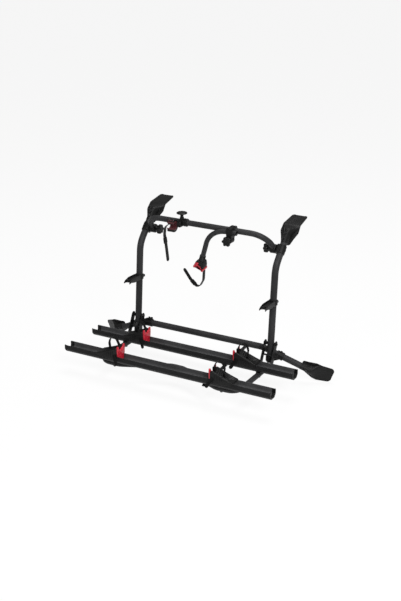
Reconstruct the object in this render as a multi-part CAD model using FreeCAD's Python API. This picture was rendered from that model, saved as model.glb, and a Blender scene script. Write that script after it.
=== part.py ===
import FreeCAD, Part
import math
import os

# Van bike carrier: two bent uprights hang from hooks on the top edge of a van's rear door and
# rest on it with two feet, a platform with two wheel rails folds up against the uprights, and an
# upper bar carries one short and one long holder for the bicycle frames. Millimetres, +Z up, +Y
# towards the van, X across it. The pieces are laid out from the rear rail's flange tops (y = 0,
# z = 0), and the last lines move the whole carrier so that its origin lies midway between the
# bearing faces of the two door hooks.

V = FreeCAD.Vector
X_AXIS = V(1, 0, 0)
Y_AXIS = V(0, 1, 0)
Z_AXIS = V(0, 0, 1)

# Tubes
upright_d = 38.0
cross_tube_d = 36.0
bar_d = 32.0
cane_d = 28.0
platform_tube_d = 30.0
tube_wall = 1.5

# Uprights: a lower run that leans slightly towards the van and an upper run bent well back
upright_x = 429.0
upright_base_y = 134.0
lower_lean = 4.4
upper_lean = 42.5
knee_z = 497.4
knee_radius = 125.0
upper_run = 215.0
foot_end_z = -38.0

# Door hooks at the upright's top: plate behind the tube, saddle over it, flange over the door
plate_t = 3.0
hook_overlap = 66.0
hook_low_half = 25.0
hook_mid_drop = 22.0
hook_mid_half = 39.0
hook_wide_rise = 14.0
hook_wide_half = 54.0
hook_fold_rise = 58.0
hook_fold_half = 51.0
hook_fold_angle = 36.7
hook_bend_radius = 5.0
flange_length = 110.0
flange_tip_half = 45.0
flange_corner = 14.0
saddle_wall = 3.0
saddle_top_rise = 6.0
fit_gap = 0.2
pad_t = 2.0
pad_margin = 6.0
hook_bolt_drops = (44.0, 14.0)
hook_screw_rises = (16.0, 44.0)
hook_screw_x = -27.0
bracket_corner = 8.0
bolt_d = 8.0
small_bolt_d = 6.0
bolt_head_t = 5.0
bolt_head_ratio = 1.7
cut_past = 60.0

# Lower cross tube and the two arms with the feet
cross_y = 171.0
cross_z = 20.0
arm_knee_x = 365.0
arm_knee_radius = 95.0
arm_end_x = 628.0
arm_end_y = 216.9
arm_end_z = -79.3
arm_end = V(arm_end_x, arm_end_y, arm_end_z)
coupling_x = -402.0
coupling_length = 50.0
coupling_wall = 4.0
ear_start = 12.0
ear_stop = 46.0
ear_half = 9.0
ear_height = 15.0
ear_slot = 2.4
ear_bolt_x = (20.0, 38.0)
ear_bolt_rise = 8.0
joint_inset = 24.0
left_knee_x = -414.0
left_knee_radius = 45.0
left_meet_back = 84.0
foot_overlap = 50.0
foot_low_half = 26.0
foot_mid_drop = 20.0
foot_mid_half = 33.0
foot_wide_rise = 28.0
foot_fold_half = 48.0
foot_fold_rise = 53.0
foot_fold_angle = 25.0
foot_flange = 82.0
foot_tip_half = 43.0
foot_corner = 12.0
foot_bolt_drops = (36.0, 12.0)

# Clamps that tie the arms to the uprights' feet
foot_clamp_x = (444.0, 484.0)
foot_clamp_wall = 5.0
foot_clamp_top = -6.0
foot_clamp_bottom = -34.0
foot_web_by_upright = ((-6.0, 8.0), (17.0, -2.0))
foot_web_by_arm = ((14.0, -4.0), (-16.0, 2.0))

# Upper bar and its pivots on the uprights
pivot_run = 108.0
bar_forward = 84.0
bar_rise = 95.0
bar_radius = 100.0
bar_end_gap = 9.0
end_block_half = 17.5
end_boss_r = 25.0
socket_wall = 4.0
socket_length = 22.0
clamp_gap = 0.4
clamp_split = 2.0
clamp_half_height = 25.0
clamp_half_depth = 24.0
clamp_outer_wall = 5.0
clamp_inner_wall = 10.1
clamp_corner = 6.0
stud_d = 10.0
hole_gap = 0.1
turn_gap = 0.05
star_r = 28.0
star_lobes = 6
star_t = 24.0
star_neck = 12.0
star_neck_r = 10.0
star_edge_ratio = 0.12
star_hollow_ratio = 0.3
star_hollow_at = 1.12
knob_join = 2.0
stud_inset = 1.0

# Platform hinge
hinge_y = 135.0
hinge_z = 68.0
hinge_inner_half = 31.0
hinge_plate_t = 3.0
hinge_plate_half = 18.0
hinge_bolt_d = 10.0
hinge_foot_y = 72.0
bush_wall = 4.0
bush_sink = 1.0
stop_pin_d = 10.0
stop_pin_z = 8.0
stop_gap = 0.3
fold_angle = 97.0

# Platform frame
frame_z = -62.0
front_run_back = 10.0
frame_corner_radius = 60.0
front_half = 305.0
bow_half = 35.0
bow_y = -143.0
bow_radius = 80.0
hinge_tube_d = 26.0
hinge_tube_wall = 2.0

# Rails
rail_half_length = 640.0
rail_half_width = 34.0
rail_depth = 44.0
rail_side_corner = 14.0
rail_floor_corner = 12.0
rail_floor_half = 18.0
rail_side_depth = 26.0
rail_wall = 2.5
rail_slope_share = 0.4
rail_pitch = 272.0
cap_t = 3.0
cap_plug = 16.0
cap_rim = 9.0
cap_wall = 3.0
saddle_half = 14.0
saddle_drop = 8.0

# Support strut under the platform
strut_x = 217.0
strut_width = 20.0
strut_t = 6.0
strut_lead = 16.8
strut_back_y = 288.0
strut_back_z = -36.0
strut_foot_t = 6.0
strut_foot_width = 28.0
strut_foot_height = 18.0
strut_gap = 0.5
strut_clip_wall = 3.5

# Wheel holders
chock_inner_x = 292.0
chock_length = 131.0
chock_height = 50.0
chock_tail_height = 3.0
chock_crown = 14.0
chock_half_width = 38.4
chock_corner = 8.0
skirt_t = 4.0
skirt_drop = 18.0
skirt_front = 4.0
skirt_back = 6.0
skirt_join = 0.5
slide_gap = 0.4
groove_half = 25.0
groove_depth = 24.0
groove_reach = 0.4
insert_t = 9.0
insert_low_half = 24.0
insert_low_z = -31.0
insert_half = 37.0
insert_top = 60.0
notch_half = 19.0
notch_z = 27.0
notch_corner = 5.0
notch_root = 6.0
horn_corner = 7.0
insert_corner = 8.0
strap_w = 20.0
strap_t = 3.0
wheel_loop = ((296.0, 24.0), (297.0, 60.0), (312.0, 93.0), (337.0, 99.0), (354.0, 87.0), (361.0, 62.0),
              (354.0, 8.0))
wheel_loop_radius = 18.0
tail_root = (309.0, 2.0, 12.0)
tail_tip = (278.0, -21.5, -40.0)

# Clips on the uprights that hold the folded platform
clip_z = 306.0
clip_half_height = 18.0
clip_wall = 5.0
clip_mouth_gap = 0.6
clip_finger = 4.0
clip_tip_reach = 12.0
clip_tip_rises = (0.0, -8.0)
clip_claw = ((-6.0, -8.0), (2.0, -4.0), (42.0, -14.0))
clip_under_forward = 10.0
clip_tab = 30.0
clip_tab_half = 8.0
clip_tab_low = 18.0
clip_tab_high = 4.0
clip_tab_corner = 6.0
clip_shoulder = 12.0
clip_crown = (94.0, 15.0, 30.0)
clip_brow = (32.0, 17.0, 40.0)
clip_nose = (0.0, 8.0, 10.0)
clip_slot_half = 8.0
clip_slot_start = 40.0
clip_slot_wall = 4.0
clip_split = 2.0
clip_bolt_back = 16.0
clip_bolt_drop = 10.0

# Short frame holder
short_x = (-133.0, -107.0)
short_block_x = (-155.0, -133.0)
ring_wall = 6.0
short_boss_x = -145.0
short_boss_z = 24.0
short_boss_over = 4.0
short_boss_wall = 3.0
short_knob_z = 46.0
short_knob_gap = 0.5
short_arm_low = 12.0
short_arm_high = 22.0
short_arm_sink = 8.0
mushroom_r = 30.0
mushroom_t = 12.0
mushroom_edge = 4.8
stem_r = 9.0
jaw_length = 42.0
jaw_r = 36.0
jaw_bore_r = 25.0
liner_t = 5.0
jaw_forward = 58.0
jaw_drop = 9.0
jaw_mouth = 14.5
short_strap = ((-236.0, 640.0), (-243.0, 590.0), (-237.0, 540.0), (-228.0, 432.0))
short_strap_y = 130.0
short_strap_lean = 4.0
strap_lug_length = 14.0
strap_lug_half = 14.0
strap_lug_drop = 4.0
strap_lug_rise = 16.0
holder_strap_w = 26.0
holder_strap_t = 4.0
short_strap_radius = 40.0

# Long frame holder
long_clamp_x = (160.0, 192.0)
cane_forward = 34.0
cane_z_drop = 2.0
cane_end_x = 214.0
cane_corner_x = 52.0
cane_radius = 145.0
cane_foot_x = -33.0
cane_foot_y = 178.0
cane_foot_z = 442.0
cane_foot = V(cane_foot_x, cane_foot_y, cane_foot_z)
collar_wall = 3.5
collar_length = 30.0
head_half = 30.0
head_top_half = 17.5
head_height = 54.0
head_depth = 48.0
head_bore_r = 24.0
head_corner = 6.0
long_block_wall = 6.0
long_block_half = 24.0
long_lug_z = 628.0
long_lug_r = 19.0
long_lug_back = 4.0
long_lug_join = 20.0
long_star_t = 20.0
long_neck = 10.0
long_strap = ((-19.0, 345.0), (-40.0, 306.0), (-62.0, 300.0), (-104.0, 336.0), (-146.0, 392.0))
long_strap_radii = (40.0, 18.0, 18.0, 60.0)
long_strap_sink = 4.0


def direction(lean):
    """Unit vector in the YZ plane that leans back from the vertical by so many degrees."""
    return V(0, math.sin(math.radians(lean)), math.cos(math.radians(lean)))


def place(origin, right, up):
    """Placement with local x along right, local y along up and local z square to both."""
    ex = V(right).normalize()
    ez = ex.cross(up).normalize()
    ey = ez.cross(ex)
    return FreeCAD.Placement(FreeCAD.Matrix(ex.x, ey.x, ez.x, origin.x, ex.y, ey.y, ez.y, origin.y,
                                            ex.z, ey.z, ez.z, origin.z, 0, 0, 0, 1))


def outline(corners):
    """Closed wire in the local XY plane through (x, y, corner radius) points."""
    points = [V(c[0], c[1], 0) for c in corners]
    count = len(points)
    starts = []
    ends = []
    middles = []
    for i, corner in enumerate(corners):
        p = points[i]
        radius = corner[2] if len(corner) > 2 else 0
        if not radius:
            starts.append(p)
            ends.append(p)
            middles.append(None)
            continue
        a = (points[i - 1] - p).normalize()
        b = (points[(i + 1) % count] - p).normalize()
        half = a.getAngle(b) / 2
        reach = radius / math.tan(half)
        bisector = (a + b).normalize()
        starts.append(p + a * reach)
        ends.append(p + b * reach)
        middles.append(p + bisector * (radius / math.sin(half) - radius))
    edges = []
    for i in range(count):
        if middles[i] is not None:
            edges.append(Part.Arc(starts[i], middles[i], ends[i]).toShape())
        following = starts[(i + 1) % count]
        if ends[i].distanceToPoint(following) > 1e-6:
            edges.append(Part.LineSegment(ends[i], following).toShape())
    return Part.Wire(edges)


def slab(corners, thickness, placement=None, start=0.0):
    """Plate of the given outline, from local z = start to start + thickness."""
    face = Part.Face(outline(corners))
    face.translate(V(0, 0, start))
    solid = face.extrude(V(0, 0, thickness))
    if placement:
        solid.Placement = placement
    return solid


def box(low, high):
    """Block between two corners."""
    return Part.makeBox(high[0] - low[0], high[1] - low[1], high[2] - low[2], V(*low))


def rod(a, b, radius, bore=0.0):
    """Round bar or pipe from point a to point b."""
    along = b - a
    solid = Part.makeCylinder(radius, along.Length, a, along)
    if bore:
        solid = solid.cut(Part.makeCylinder(bore, along.Length, a, along))
    return solid


def join(*solids):
    """One solid from pieces that touch or overlap."""
    return solids[0].multiFuse(list(solids[1:])).removeSplitter()


def bent(points, radii, section):
    """Solids along a path of straight runs and arcs; section gives the face at a point, a direction
    and the arc's plane normal."""
    pieces = []
    at = points[0]
    for i in range(1, len(points)):
        inward = (points[i] - points[i - 1]).normalize()
        if i < len(points) - 1:
            outward = (points[i + 1] - points[i]).normalize()
            turn = inward.getAngle(outward)
            reach = radii[i - 1] * math.tan(turn / 2)
            stop = points[i] - inward * reach
        else:
            stop = points[i]
        if stop.distanceToPoint(at) > 1e-6:
            pieces.append(section(at, inward).extrude(stop - at))
        if i < len(points) - 1:
            axis = inward.cross(outward).normalize()
            centre = stop + axis.cross(inward).normalize() * radii[i - 1]
            pieces.append(section(stop, inward).revolve(centre, axis, math.degrees(turn)))
            at = points[i] + outward * reach
    if len(pieces) == 1:
        return pieces[0]
    return join(*pieces)


def tube(points, radii, outer_d, wall=tube_wall):
    """Bent tube through the points, with one bend radius for each inner point."""
    def ring(at, along):
        outer = Part.Wire(Part.Circle(at, along, outer_d / 2).toShape())
        inner = Part.Wire(Part.Circle(at, along, outer_d / 2 - wall).toShape())
        face = Part.Face(outer)
        return face.cut(Part.Face(inner)).Faces[0]
    return bent(points, radii, ring)


def round_bar(points, radii, outer_d):
    """Solid bar along a tube's path, for cutting the way that the tube takes."""
    def disc(at, along):
        return Part.Face(Part.Wire(Part.Circle(at, along, outer_d / 2).toShape()))
    return bent(points, radii, disc)


def band(points, radii, width, thickness, side):
    """Flat strap along a path whose bends all turn about the side direction."""
    def strip(at, along):
        across = V(side).normalize() * (width / 2)
        through = V(side).cross(along).normalize() * (thickness / 2)
        corners = [at + across + through, at - across + through,
                   at - across - through, at + across - through]
        return Part.Face(Part.makePolygon(corners + corners[:1]))
    return bent(points, radii, strip)


def round_edges(solid):
    """The solid's circular edges."""
    return [edge for edge in solid.Edges if edge.Curve.TypeId == "Part::GeomCircle"]


def star(placement, radius, thickness):
    """Star grip: a disc with a hollow between each two lobes, its edges broken."""
    grip = Part.makeCylinder(radius, thickness)
    grip = grip.makeChamfer(thickness * star_edge_ratio, round_edges(grip))
    pitch = 2 * math.pi / star_lobes
    for k in range(star_lobes):
        angle = (k + 0.5) * pitch
        centre = V(math.cos(angle), math.sin(angle), 0) * (radius * star_hollow_at)
        grip = grip.cut(Part.makeCylinder(radius * star_hollow_ratio, thickness, centre))
    grip.Placement = placement
    return grip


def mirrored(shape):
    """The same piece for the carrier's other side."""
    return shape.mirror(V(0, 0, 0), X_AXIS)


def pair(shape):
    """The piece and its mirror image."""
    return [shape, mirrored(shape)]


nodes = {}

# Shared points and directions
upper_dir = direction(upper_lean)
lower_dir = direction(lower_lean)
knee = V(upright_x, upright_base_y + knee_z * math.tan(math.radians(lower_lean)), knee_z)
tube_top = knee + upper_dir * upper_run
foot_end = V(upright_x, upright_base_y + foot_end_z * math.tan(math.radians(lower_lean)), foot_end_z)
upright_r = upright_d / 2
bar_half = upright_x - upright_r - clamp_inner_wall - clamp_gap - end_block_half
bar_pivot = knee + upper_dir * pivot_run
bar_y = bar_pivot.y - bar_forward
bar_z = bar_pivot.z + bar_rise
hinge = V(upright_x, hinge_y, hinge_z)


def upright_y(z):
    """Y of the upright's lower run at a height."""
    return upright_base_y + z * math.tan(math.radians(lower_lean))


# Door hooks
def bracket(placement, low, mid, wide, fold, fold_angle_deg, flange, tip_half, corner, tube_r):
    """Shovel bracket in the frame of a tube's end: the tube comes up along local y to y = 0, and
    local z points away from the door. low, mid, wide and fold are (y, half width) stations."""
    back = -tube_r - plate_t
    stations = [low, mid, wide, fold]
    right_side = [(h, y) for y, h in stations]
    left_side = [(-h, y) for y, h in reversed(stations)]
    corners = [right_side[0] + (bracket_corner,)] + right_side[1:] + left_side[:-1]
    corners = corners + [left_side[-1] + (bracket_corner,)]
    plate = slab(corners, plate_t, start=back)
    fold_y, fold_half = fold
    edge = Part.Face(Part.makePolygon([V(-fold_half, fold_y, back), V(fold_half, fold_y, back),
                                       V(fold_half, fold_y, back + plate_t),
                                       V(-fold_half, fold_y, back + plate_t), V(-fold_half, fold_y, back)]))
    centre = V(0, fold_y, back - hook_bend_radius)
    bend = edge.revolve(centre, X_AXIS, -fold_angle_deg)
    turn = FreeCAD.Rotation(X_AXIS, -fold_angle_deg)
    root = centre + turn.multVec(V(0, 0, hook_bend_radius))
    flange_frame = FreeCAD.Placement(root, turn)
    flange_corners = [(-fold_half, 0), (fold_half, 0),
                      (tip_half, flange, corner), (-tip_half, flange, corner)]
    tongue = slab(flange_corners, plate_t, flange_frame)
    saddle_r = tube_r + fit_gap
    top = saddle_top_rise
    hood_half = saddle_r + saddle_wall
    outer = [(-hood_half, back + plate_t), (hood_half, back + plate_t),
             (hood_half, tube_r + saddle_wall, tube_r), (-hood_half, tube_r + saddle_wall, tube_r)]
    along = place(V(0, low[0], 0), X_AXIS, Z_AXIS)
    hood = slab(outer, low[0] - top, along)
    channel = rod(V(0, low[0], 0), V(0, fit_gap, 0), saddle_r)
    slot = box((-saddle_r, low[0], -tube_r), (saddle_r, fit_gap, 0))
    hood = hood.cut(channel).cut(slot)
    shape = join(plate, bend, tongue, hood)
    shape.Placement = placement.multiply(shape.Placement)
    return shape, placement.multiply(flange_frame)


hook_frame = place(tube_top, X_AXIS, upper_dir)
hook, hook_flange_frame = bracket(
    hook_frame, (-hook_overlap, hook_low_half), (-hook_mid_drop, hook_mid_half),
    (hook_wide_rise, hook_wide_half), (hook_fold_rise, hook_fold_half), hook_fold_angle,
    flange_length, flange_tip_half, flange_corner, upright_r)


def sole(flange_frame, fold_half, tip_half, length, corner):
    """Rubber sheet stuck under a bracket's flange."""
    inset = pad_margin
    corners = [(-fold_half + inset, inset), (fold_half - inset, inset),
               (tip_half - inset, length - inset, corner), (-tip_half + inset, length - inset, corner)]
    return slab(corners, pad_t, flange_frame, -pad_t)


hook_pad = sole(hook_flange_frame, hook_fold_half, flange_tip_half, flange_length, flange_corner)
hook_face = hook_flange_frame.multVec(V(0, flange_length / 2, -pad_t))
hook_normal = hook_flange_frame.Rotation.multVec(V(0, 0, -1))
origin_shift = V(0, -hook_face.y, -hook_face.z)


def screw(at, into, length, shank_d=bolt_d, nut=True):
    """Bolt whose head rests at the point at, with its shank along into and a nut at its end."""
    step = V(into).normalize()
    shank = rod(at, at + step * (length + bolt_head_t), shank_d / 2)
    head_r = shank_d * bolt_head_ratio / 2
    head = rod(at - step * bolt_head_t, at, head_r)
    if not nut:
        return join(shank, head)
    return join(shank, head, rod(at + step * length, at + step * (length + bolt_head_t), head_r))


hood_front = upright_r + saddle_wall
hook_inwards = hook_frame.Rotation.multVec(V(0, 0, -1))
hook_bolts = []
for drop in hook_bolt_drops:
    head_at = hook_frame.multVec(V(0, -drop, hood_front))
    hook_bolts.append(screw(head_at, hook_inwards, hood_front + upright_r + plate_t))
for rise in hook_screw_rises:
    head_at = hook_frame.multVec(V(hook_screw_x, rise, -upright_r))
    hook_bolts.append(screw(head_at, hook_inwards, plate_t))

# Uprights
upright = tube([foot_end, knee, tube_top], [knee_radius], upright_d)

# Pivot stud of the upper bar, drilled right through the upright
stud_end = V(upright_x + upright_r + clamp_outer_wall, bar_pivot.y, bar_pivot.z)
stud_axis = rod(V(bar_half - cut_past, bar_pivot.y, bar_pivot.z), stud_end + V(cut_past, 0, 0),
                stud_d / 2 + hole_gap)

# Platform hinge bolt
hinge_outer = hinge_inner_half + hinge_plate_t
across = V(cut_past, 0, 0)
hinge_grip = hinge_outer + hole_gap
hinge_bolt = screw(hinge - V(hinge_grip, 0, 0), X_AXIS, 2 * hinge_grip, hinge_bolt_d)
hinge_hole = rod(hinge - across, hinge + across, hinge_bolt_d / 2 + hole_gap)
bushes = []
for sign in (-1, 1):
    near = hinge + V(sign * (upright_r - bush_sink), 0, 0)
    far = hinge + V(sign * (hinge_inner_half - hole_gap), 0, 0)
    bush = rod(near, far, hinge_bolt_d / 2 + bush_wall, hinge_bolt_d / 2)
    bushes.append(bush.cut(rod(foot_end, knee, upright_r)))

upright = upright.cut(stud_axis).cut(rod(hinge - across, hinge + across, hinge_bolt_d / 2))
for bolt in hook_bolts[:2]:
    upright = upright.cut(bolt)
for bolt in hook_bolts:
    hook = hook.cut(bolt)

# Lower cross tube with the right arm
arm_knee = V(arm_knee_x, cross_y, cross_z)
arm_dir = (arm_end - arm_knee).normalize()
coupling_mid = coupling_x + joint_inset
cross_tube = tube([V(coupling_mid, cross_y, cross_z), arm_knee, arm_end], [arm_knee_radius], cross_tube_d)

# Left arm: a tube of its own that meets the cross tube inside the coupling
mirror_end = V(-arm_end.x, arm_end.y, arm_end.z)
mirror_dir = V(-arm_dir.x, arm_dir.y, arm_dir.z)
left_knee = V(left_knee_x, cross_y, cross_z)
left_meet = mirror_end - mirror_dir * left_meet_back
left_arm = tube([V(coupling_mid - fit_gap, cross_y, cross_z), left_knee, left_meet, mirror_end],
                [left_knee_radius, arm_knee_radius], cross_tube_d)

# Coupling sleeve with its clamp ear
cross_r = cross_tube_d / 2
coupling_start = V(coupling_x, cross_y, cross_z)
coupling_stop = V(coupling_x + coupling_length, cross_y, cross_z)
ear = box((coupling_x + ear_start, cross_y - ear_half, cross_z + cross_r),
          (coupling_x + ear_stop, cross_y + ear_half, cross_z + cross_r + ear_height))
coupling = join(rod(coupling_start, coupling_stop, cross_r + coupling_wall), ear)
coupling = coupling.cut(rod(coupling_start, coupling_stop, cross_r))
coupling = coupling.cut(box((coupling_x, cross_y - ear_slot / 2, cross_z),
                            (coupling_stop.x, cross_y + ear_slot / 2, cross_z + cut_past)))
coupling = coupling.cut(round_bar([V(coupling_mid - fit_gap, cross_y, cross_z), left_knee, left_meet],
                                  [left_knee_radius], cross_tube_d))
coupling_bolts = []
for dx in ear_bolt_x:
    at = V(coupling_x + dx, cross_y - ear_half, cross_z + cross_r + ear_bolt_rise)
    bolt = screw(at, Y_AXIS, 2 * ear_half, small_bolt_d)
    coupling_bolts.append(bolt)
    coupling = coupling.cut(bolt)

# Foot brackets
foot_frame = place(arm_end, Y_AXIS.cross(arm_dir), arm_dir)
foot, foot_flange_frame = bracket(
    foot_frame, (-foot_overlap, foot_low_half), (-foot_mid_drop, foot_mid_half),
    (foot_wide_rise, foot_fold_half), (foot_fold_rise, foot_fold_half), foot_fold_angle,
    foot_flange, foot_tip_half, foot_corner, cross_r)
foot_pad = sole(foot_flange_frame, foot_fold_half, foot_tip_half, foot_flange, foot_corner)
foot_inwards = foot_frame.Rotation.multVec(V(0, 0, -1))
foot_bolts = []
for drop in foot_bolt_drops:
    head_at = foot_frame.multVec(V(0, -drop, cross_r + saddle_wall))
    foot_bolts.append(screw(head_at, foot_inwards, 2 * cross_r + saddle_wall + plate_t))
for bolt in foot_bolts:
    foot = foot.cut(bolt)
    cross_tube = cross_tube.cut(bolt)
    left_arm = left_arm.cut(mirrored(bolt))


# Foot clamps: a sleeve on the arm and a collar on the upright's foot, in one casting
def foot_clamp(arm_start, arm_run, side):
    """Casting for one side; arm_start and arm_run give the arm's axis there."""
    step = arm_run * (1 / abs(arm_run.x))
    a = arm_start + step * (foot_clamp_x[0] - abs(arm_start.x))
    b = arm_start + step * (foot_clamp_x[1] - abs(arm_start.x))
    sleeve = rod(a, b, cross_r + foot_clamp_wall)
    low = V(side * upright_x, upright_y(foot_clamp_bottom), foot_clamp_bottom)
    high = V(side * upright_x, upright_y(foot_clamp_top), foot_clamp_top)
    collar = rod(low, high, upright_r + foot_clamp_wall)
    middle = (a + b) * 0.5
    web_corners = [(side * upright_x + side * dx, low.y + dy) for dx, dy in foot_web_by_upright]
    web_corners = web_corners + [(middle.x + side * dx, middle.y + dy) for dx, dy in foot_web_by_arm]
    web = slab(web_corners, foot_clamp_top - foot_clamp_bottom, start=foot_clamp_bottom)
    casting = join(sleeve, collar, web)
    casting = casting.cut(rod(a - arm_run * cut_past, b + arm_run * cut_past, cross_r))
    casting = casting.cut(rod(low - lower_dir * cut_past, high + lower_dir * cut_past, upright_r))
    cross = arm_run.cross(Y_AXIS).normalize() * side
    head_at = middle + cross * (cross_r + foot_clamp_wall)
    bolt = screw(head_at, cross * -1, cross_r + foot_clamp_wall, nut=False)
    return casting.cut(bolt), bolt


foot_clamp_right, right_clamp_bolt = foot_clamp(arm_knee, arm_dir, 1)
left_run = (left_meet - left_knee).normalize()
foot_clamp_left, left_clamp_bolt = foot_clamp(left_knee, left_run, -1)
cross_tube = cross_tube.cut(right_clamp_bolt)
left_arm = left_arm.cut(left_clamp_bolt)

# Upper bar and its end blocks
bar_top = V(bar_half, bar_y, bar_z)
leg = V(bar_half, bar_pivot.y, bar_pivot.z) - bar_top
leg_dir = V(leg).normalize()
leg_end = bar_top + leg_dir * (leg.Length - bar_end_gap)
crossbar = tube([V(-leg_end.x, leg_end.y, leg_end.z), V(-bar_half, bar_y, bar_z), bar_top, leg_end],
                [bar_radius, bar_radius], bar_d)
bar_r = bar_d / 2
block_mid = V(bar_half, bar_pivot.y, bar_pivot.z)
boss = rod(block_mid - V(end_block_half, 0, 0), block_mid + V(end_block_half, 0, 0), end_boss_r)
socket_start = leg_end - leg_dir * (socket_length - bar_end_gap)
socket = rod(socket_start, leg_end + leg_dir * bar_end_gap, bar_r + socket_wall)
socket = socket.common(box((bar_half - end_block_half, bar_y - cut_past, bar_pivot.z - cut_past),
                           (bar_half + end_block_half, bar_pivot.y + cut_past, bar_z + cut_past)))
end_block = join(boss, socket).cut(rod(leg_end - leg_dir * cut_past, leg_end, bar_r)).cut(stud_axis)
crossbar = crossbar.cut(stud_axis).cut(mirrored(stud_axis))

# Clamp halves on the uprights
clamp_frame = place(bar_pivot, X_AXIS, upper_dir)
inner_face = -upright_r - clamp_inner_wall
clamp_face_half = clamp_half_height - clamp_corner
inner_half = slab([(inner_face, -clamp_face_half, clamp_corner), (-clamp_split / 2, -clamp_half_height),
                   (-clamp_split / 2, clamp_half_height), (inner_face, clamp_face_half, clamp_corner)],
                  2 * clamp_half_depth, clamp_frame, -clamp_half_depth)
inner_round = rod(bar_pivot - across, bar_pivot + across, clamp_half_height + clamp_split / 2)
inner_half = inner_half.common(inner_round)
outer_half = rod(bar_pivot - upper_dir * clamp_half_height, bar_pivot + upper_dir * clamp_half_height,
                 upright_r + clamp_outer_wall)
outer_keep = slab([(clamp_split / 2, -cut_past), (cut_past, -cut_past), (cut_past, cut_past),
                   (clamp_split / 2, cut_past)], 2 * cut_past, clamp_frame, -cut_past)
outer_half = outer_half.common(outer_keep)
clamp_bore = rod(bar_pivot - upper_dir * cut_past, bar_pivot + upper_dir * cut_past, upright_r)
inner_half = inner_half.cut(clamp_bore).cut(stud_axis)
outer_half = outer_half.cut(clamp_bore).cut(stud_axis)

# Star knobs with their studs
knob_seat = V(bar_half - end_block_half - clamp_gap, bar_pivot.y, bar_pivot.z)
knob_body = join(star(place(knob_seat - V(star_neck + star_t, 0, 0), Y_AXIS, Z_AXIS), star_r, star_t),
                 rod(knob_seat - V(star_neck + knob_join, 0, 0), knob_seat, star_neck_r),
                 rod(knob_seat - V(knob_join, 0, 0), stud_end - V(stud_inset, 0, 0), stud_d / 2))

# Platform frame: two arms, a front tube with a bow in its middle, and a short tube at each hinge
platform_r = platform_tube_d / 2
frame_front_y = front_run_back - rail_pitch
half_path = [V(upright_x, hinge_foot_y, frame_z), V(upright_x, frame_front_y, frame_z),
             V(front_half, frame_front_y, frame_z), V(bow_half, bow_y, frame_z)]
other_half = [V(-p.x, p.y, p.z) for p in reversed(half_path)]
frame_radii = [frame_corner_radius, bow_radius, bow_radius, bow_radius, bow_radius, frame_corner_radius]
frame_tube = tube(half_path + other_half, frame_radii, platform_tube_d)
hinge_tube_span = [V(upright_x - hinge_inner_half, hinge_foot_y, frame_z),
                   V(upright_x + hinge_inner_half, hinge_foot_y, frame_z)]
hinge_tube_solid = rod(hinge_tube_span[0], hinge_tube_span[1], hinge_tube_d / 2)
hinge_tube = rod(hinge_tube_span[0], hinge_tube_span[1], hinge_tube_d / 2, hinge_tube_d / 2 - hinge_tube_wall)
frame_tube = frame_tube.cut(hinge_tube_solid).cut(mirrored(hinge_tube_solid))
frame_tube = max(frame_tube.Solids, key=lambda s: s.Volume)
frame_tube = join(frame_tube, hinge_tube, mirrored(hinge_tube))


# Hinge plates
def hinge_plate(x_low):
    """Side plate from the pivot down to the arm's short tube, rounded at both ends."""
    top = V(x_low, hinge_y, hinge_z)
    bottom = V(x_low, hinge_foot_y, frame_z)
    thick = V(hinge_plate_t, 0, 0)
    run = (bottom - top).normalize()
    frame = place(top, run, X_AXIS.cross(run))
    length = (bottom - top).Length
    strip = slab([(0, -hinge_plate_half), (length, -hinge_plate_half), (length, hinge_plate_half),
                  (0, hinge_plate_half)], hinge_plate_t, frame)
    ends = [rod(p, p + thick, hinge_plate_half) for p in (top, bottom)]
    plate = join(strip, *ends)
    return plate.cut(hinge_hole)


hinge_plates = [hinge_plate(upright_x - hinge_outer), hinge_plate(upright_x + hinge_inner_half)]
pin_y = upright_y(stop_pin_z) - upright_r / math.cos(math.radians(lower_lean)) - stop_pin_d / 2 - stop_gap
stop_pin = rod(V(upright_x - hinge_inner_half, pin_y, stop_pin_z),
               V(upright_x + hinge_inner_half, pin_y, stop_pin_z), stop_pin_d / 2)


# Rails
def trough(inset, top):
    """Channel outline, drawn in by an inset on the sides and the floor, up to a height."""
    half = rail_half_width - inset
    floor_half = rail_floor_half - inset * rail_slope_share
    floor = -rail_depth + inset
    side = -rail_side_depth + inset * rail_slope_share
    side_corner = rail_side_corner - inset
    floor_corner = rail_floor_corner - inset
    return [(half, top), (half, side, side_corner), (floor_half, floor, floor_corner),
            (-floor_half, floor, floor_corner), (-half, side, side_corner), (-half, top)]


def rail(y):
    """Extruded channel, open at the top and at both ends."""
    frame = place(V(-rail_half_length, y, 0), Y_AXIS, Z_AXIS)
    length = 2 * rail_half_length
    return slab(trough(0, 0), length, frame).cut(slab(trough(rail_wall, 1), length, frame))


def rail_cap(y):
    """End trim for the rail's right end: a scooped end plate and a lining that fits in the channel."""
    frame = place(V(rail_half_length, y, 0), Y_AXIS, Z_AXIS)
    inside = rail_wall + fit_gap
    end_plate = slab(trough(0, 0), cap_t, frame)
    end_plate = end_plate.cut(slab(trough(cap_rim, 5), cap_t, frame))
    lining = slab(trough(inside, -1), cap_plug, frame, -cap_plug)
    lining = lining.cut(slab(trough(inside + cap_wall, 5), cap_plug, frame, -cap_plug))
    return join(end_plate, lining)


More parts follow.
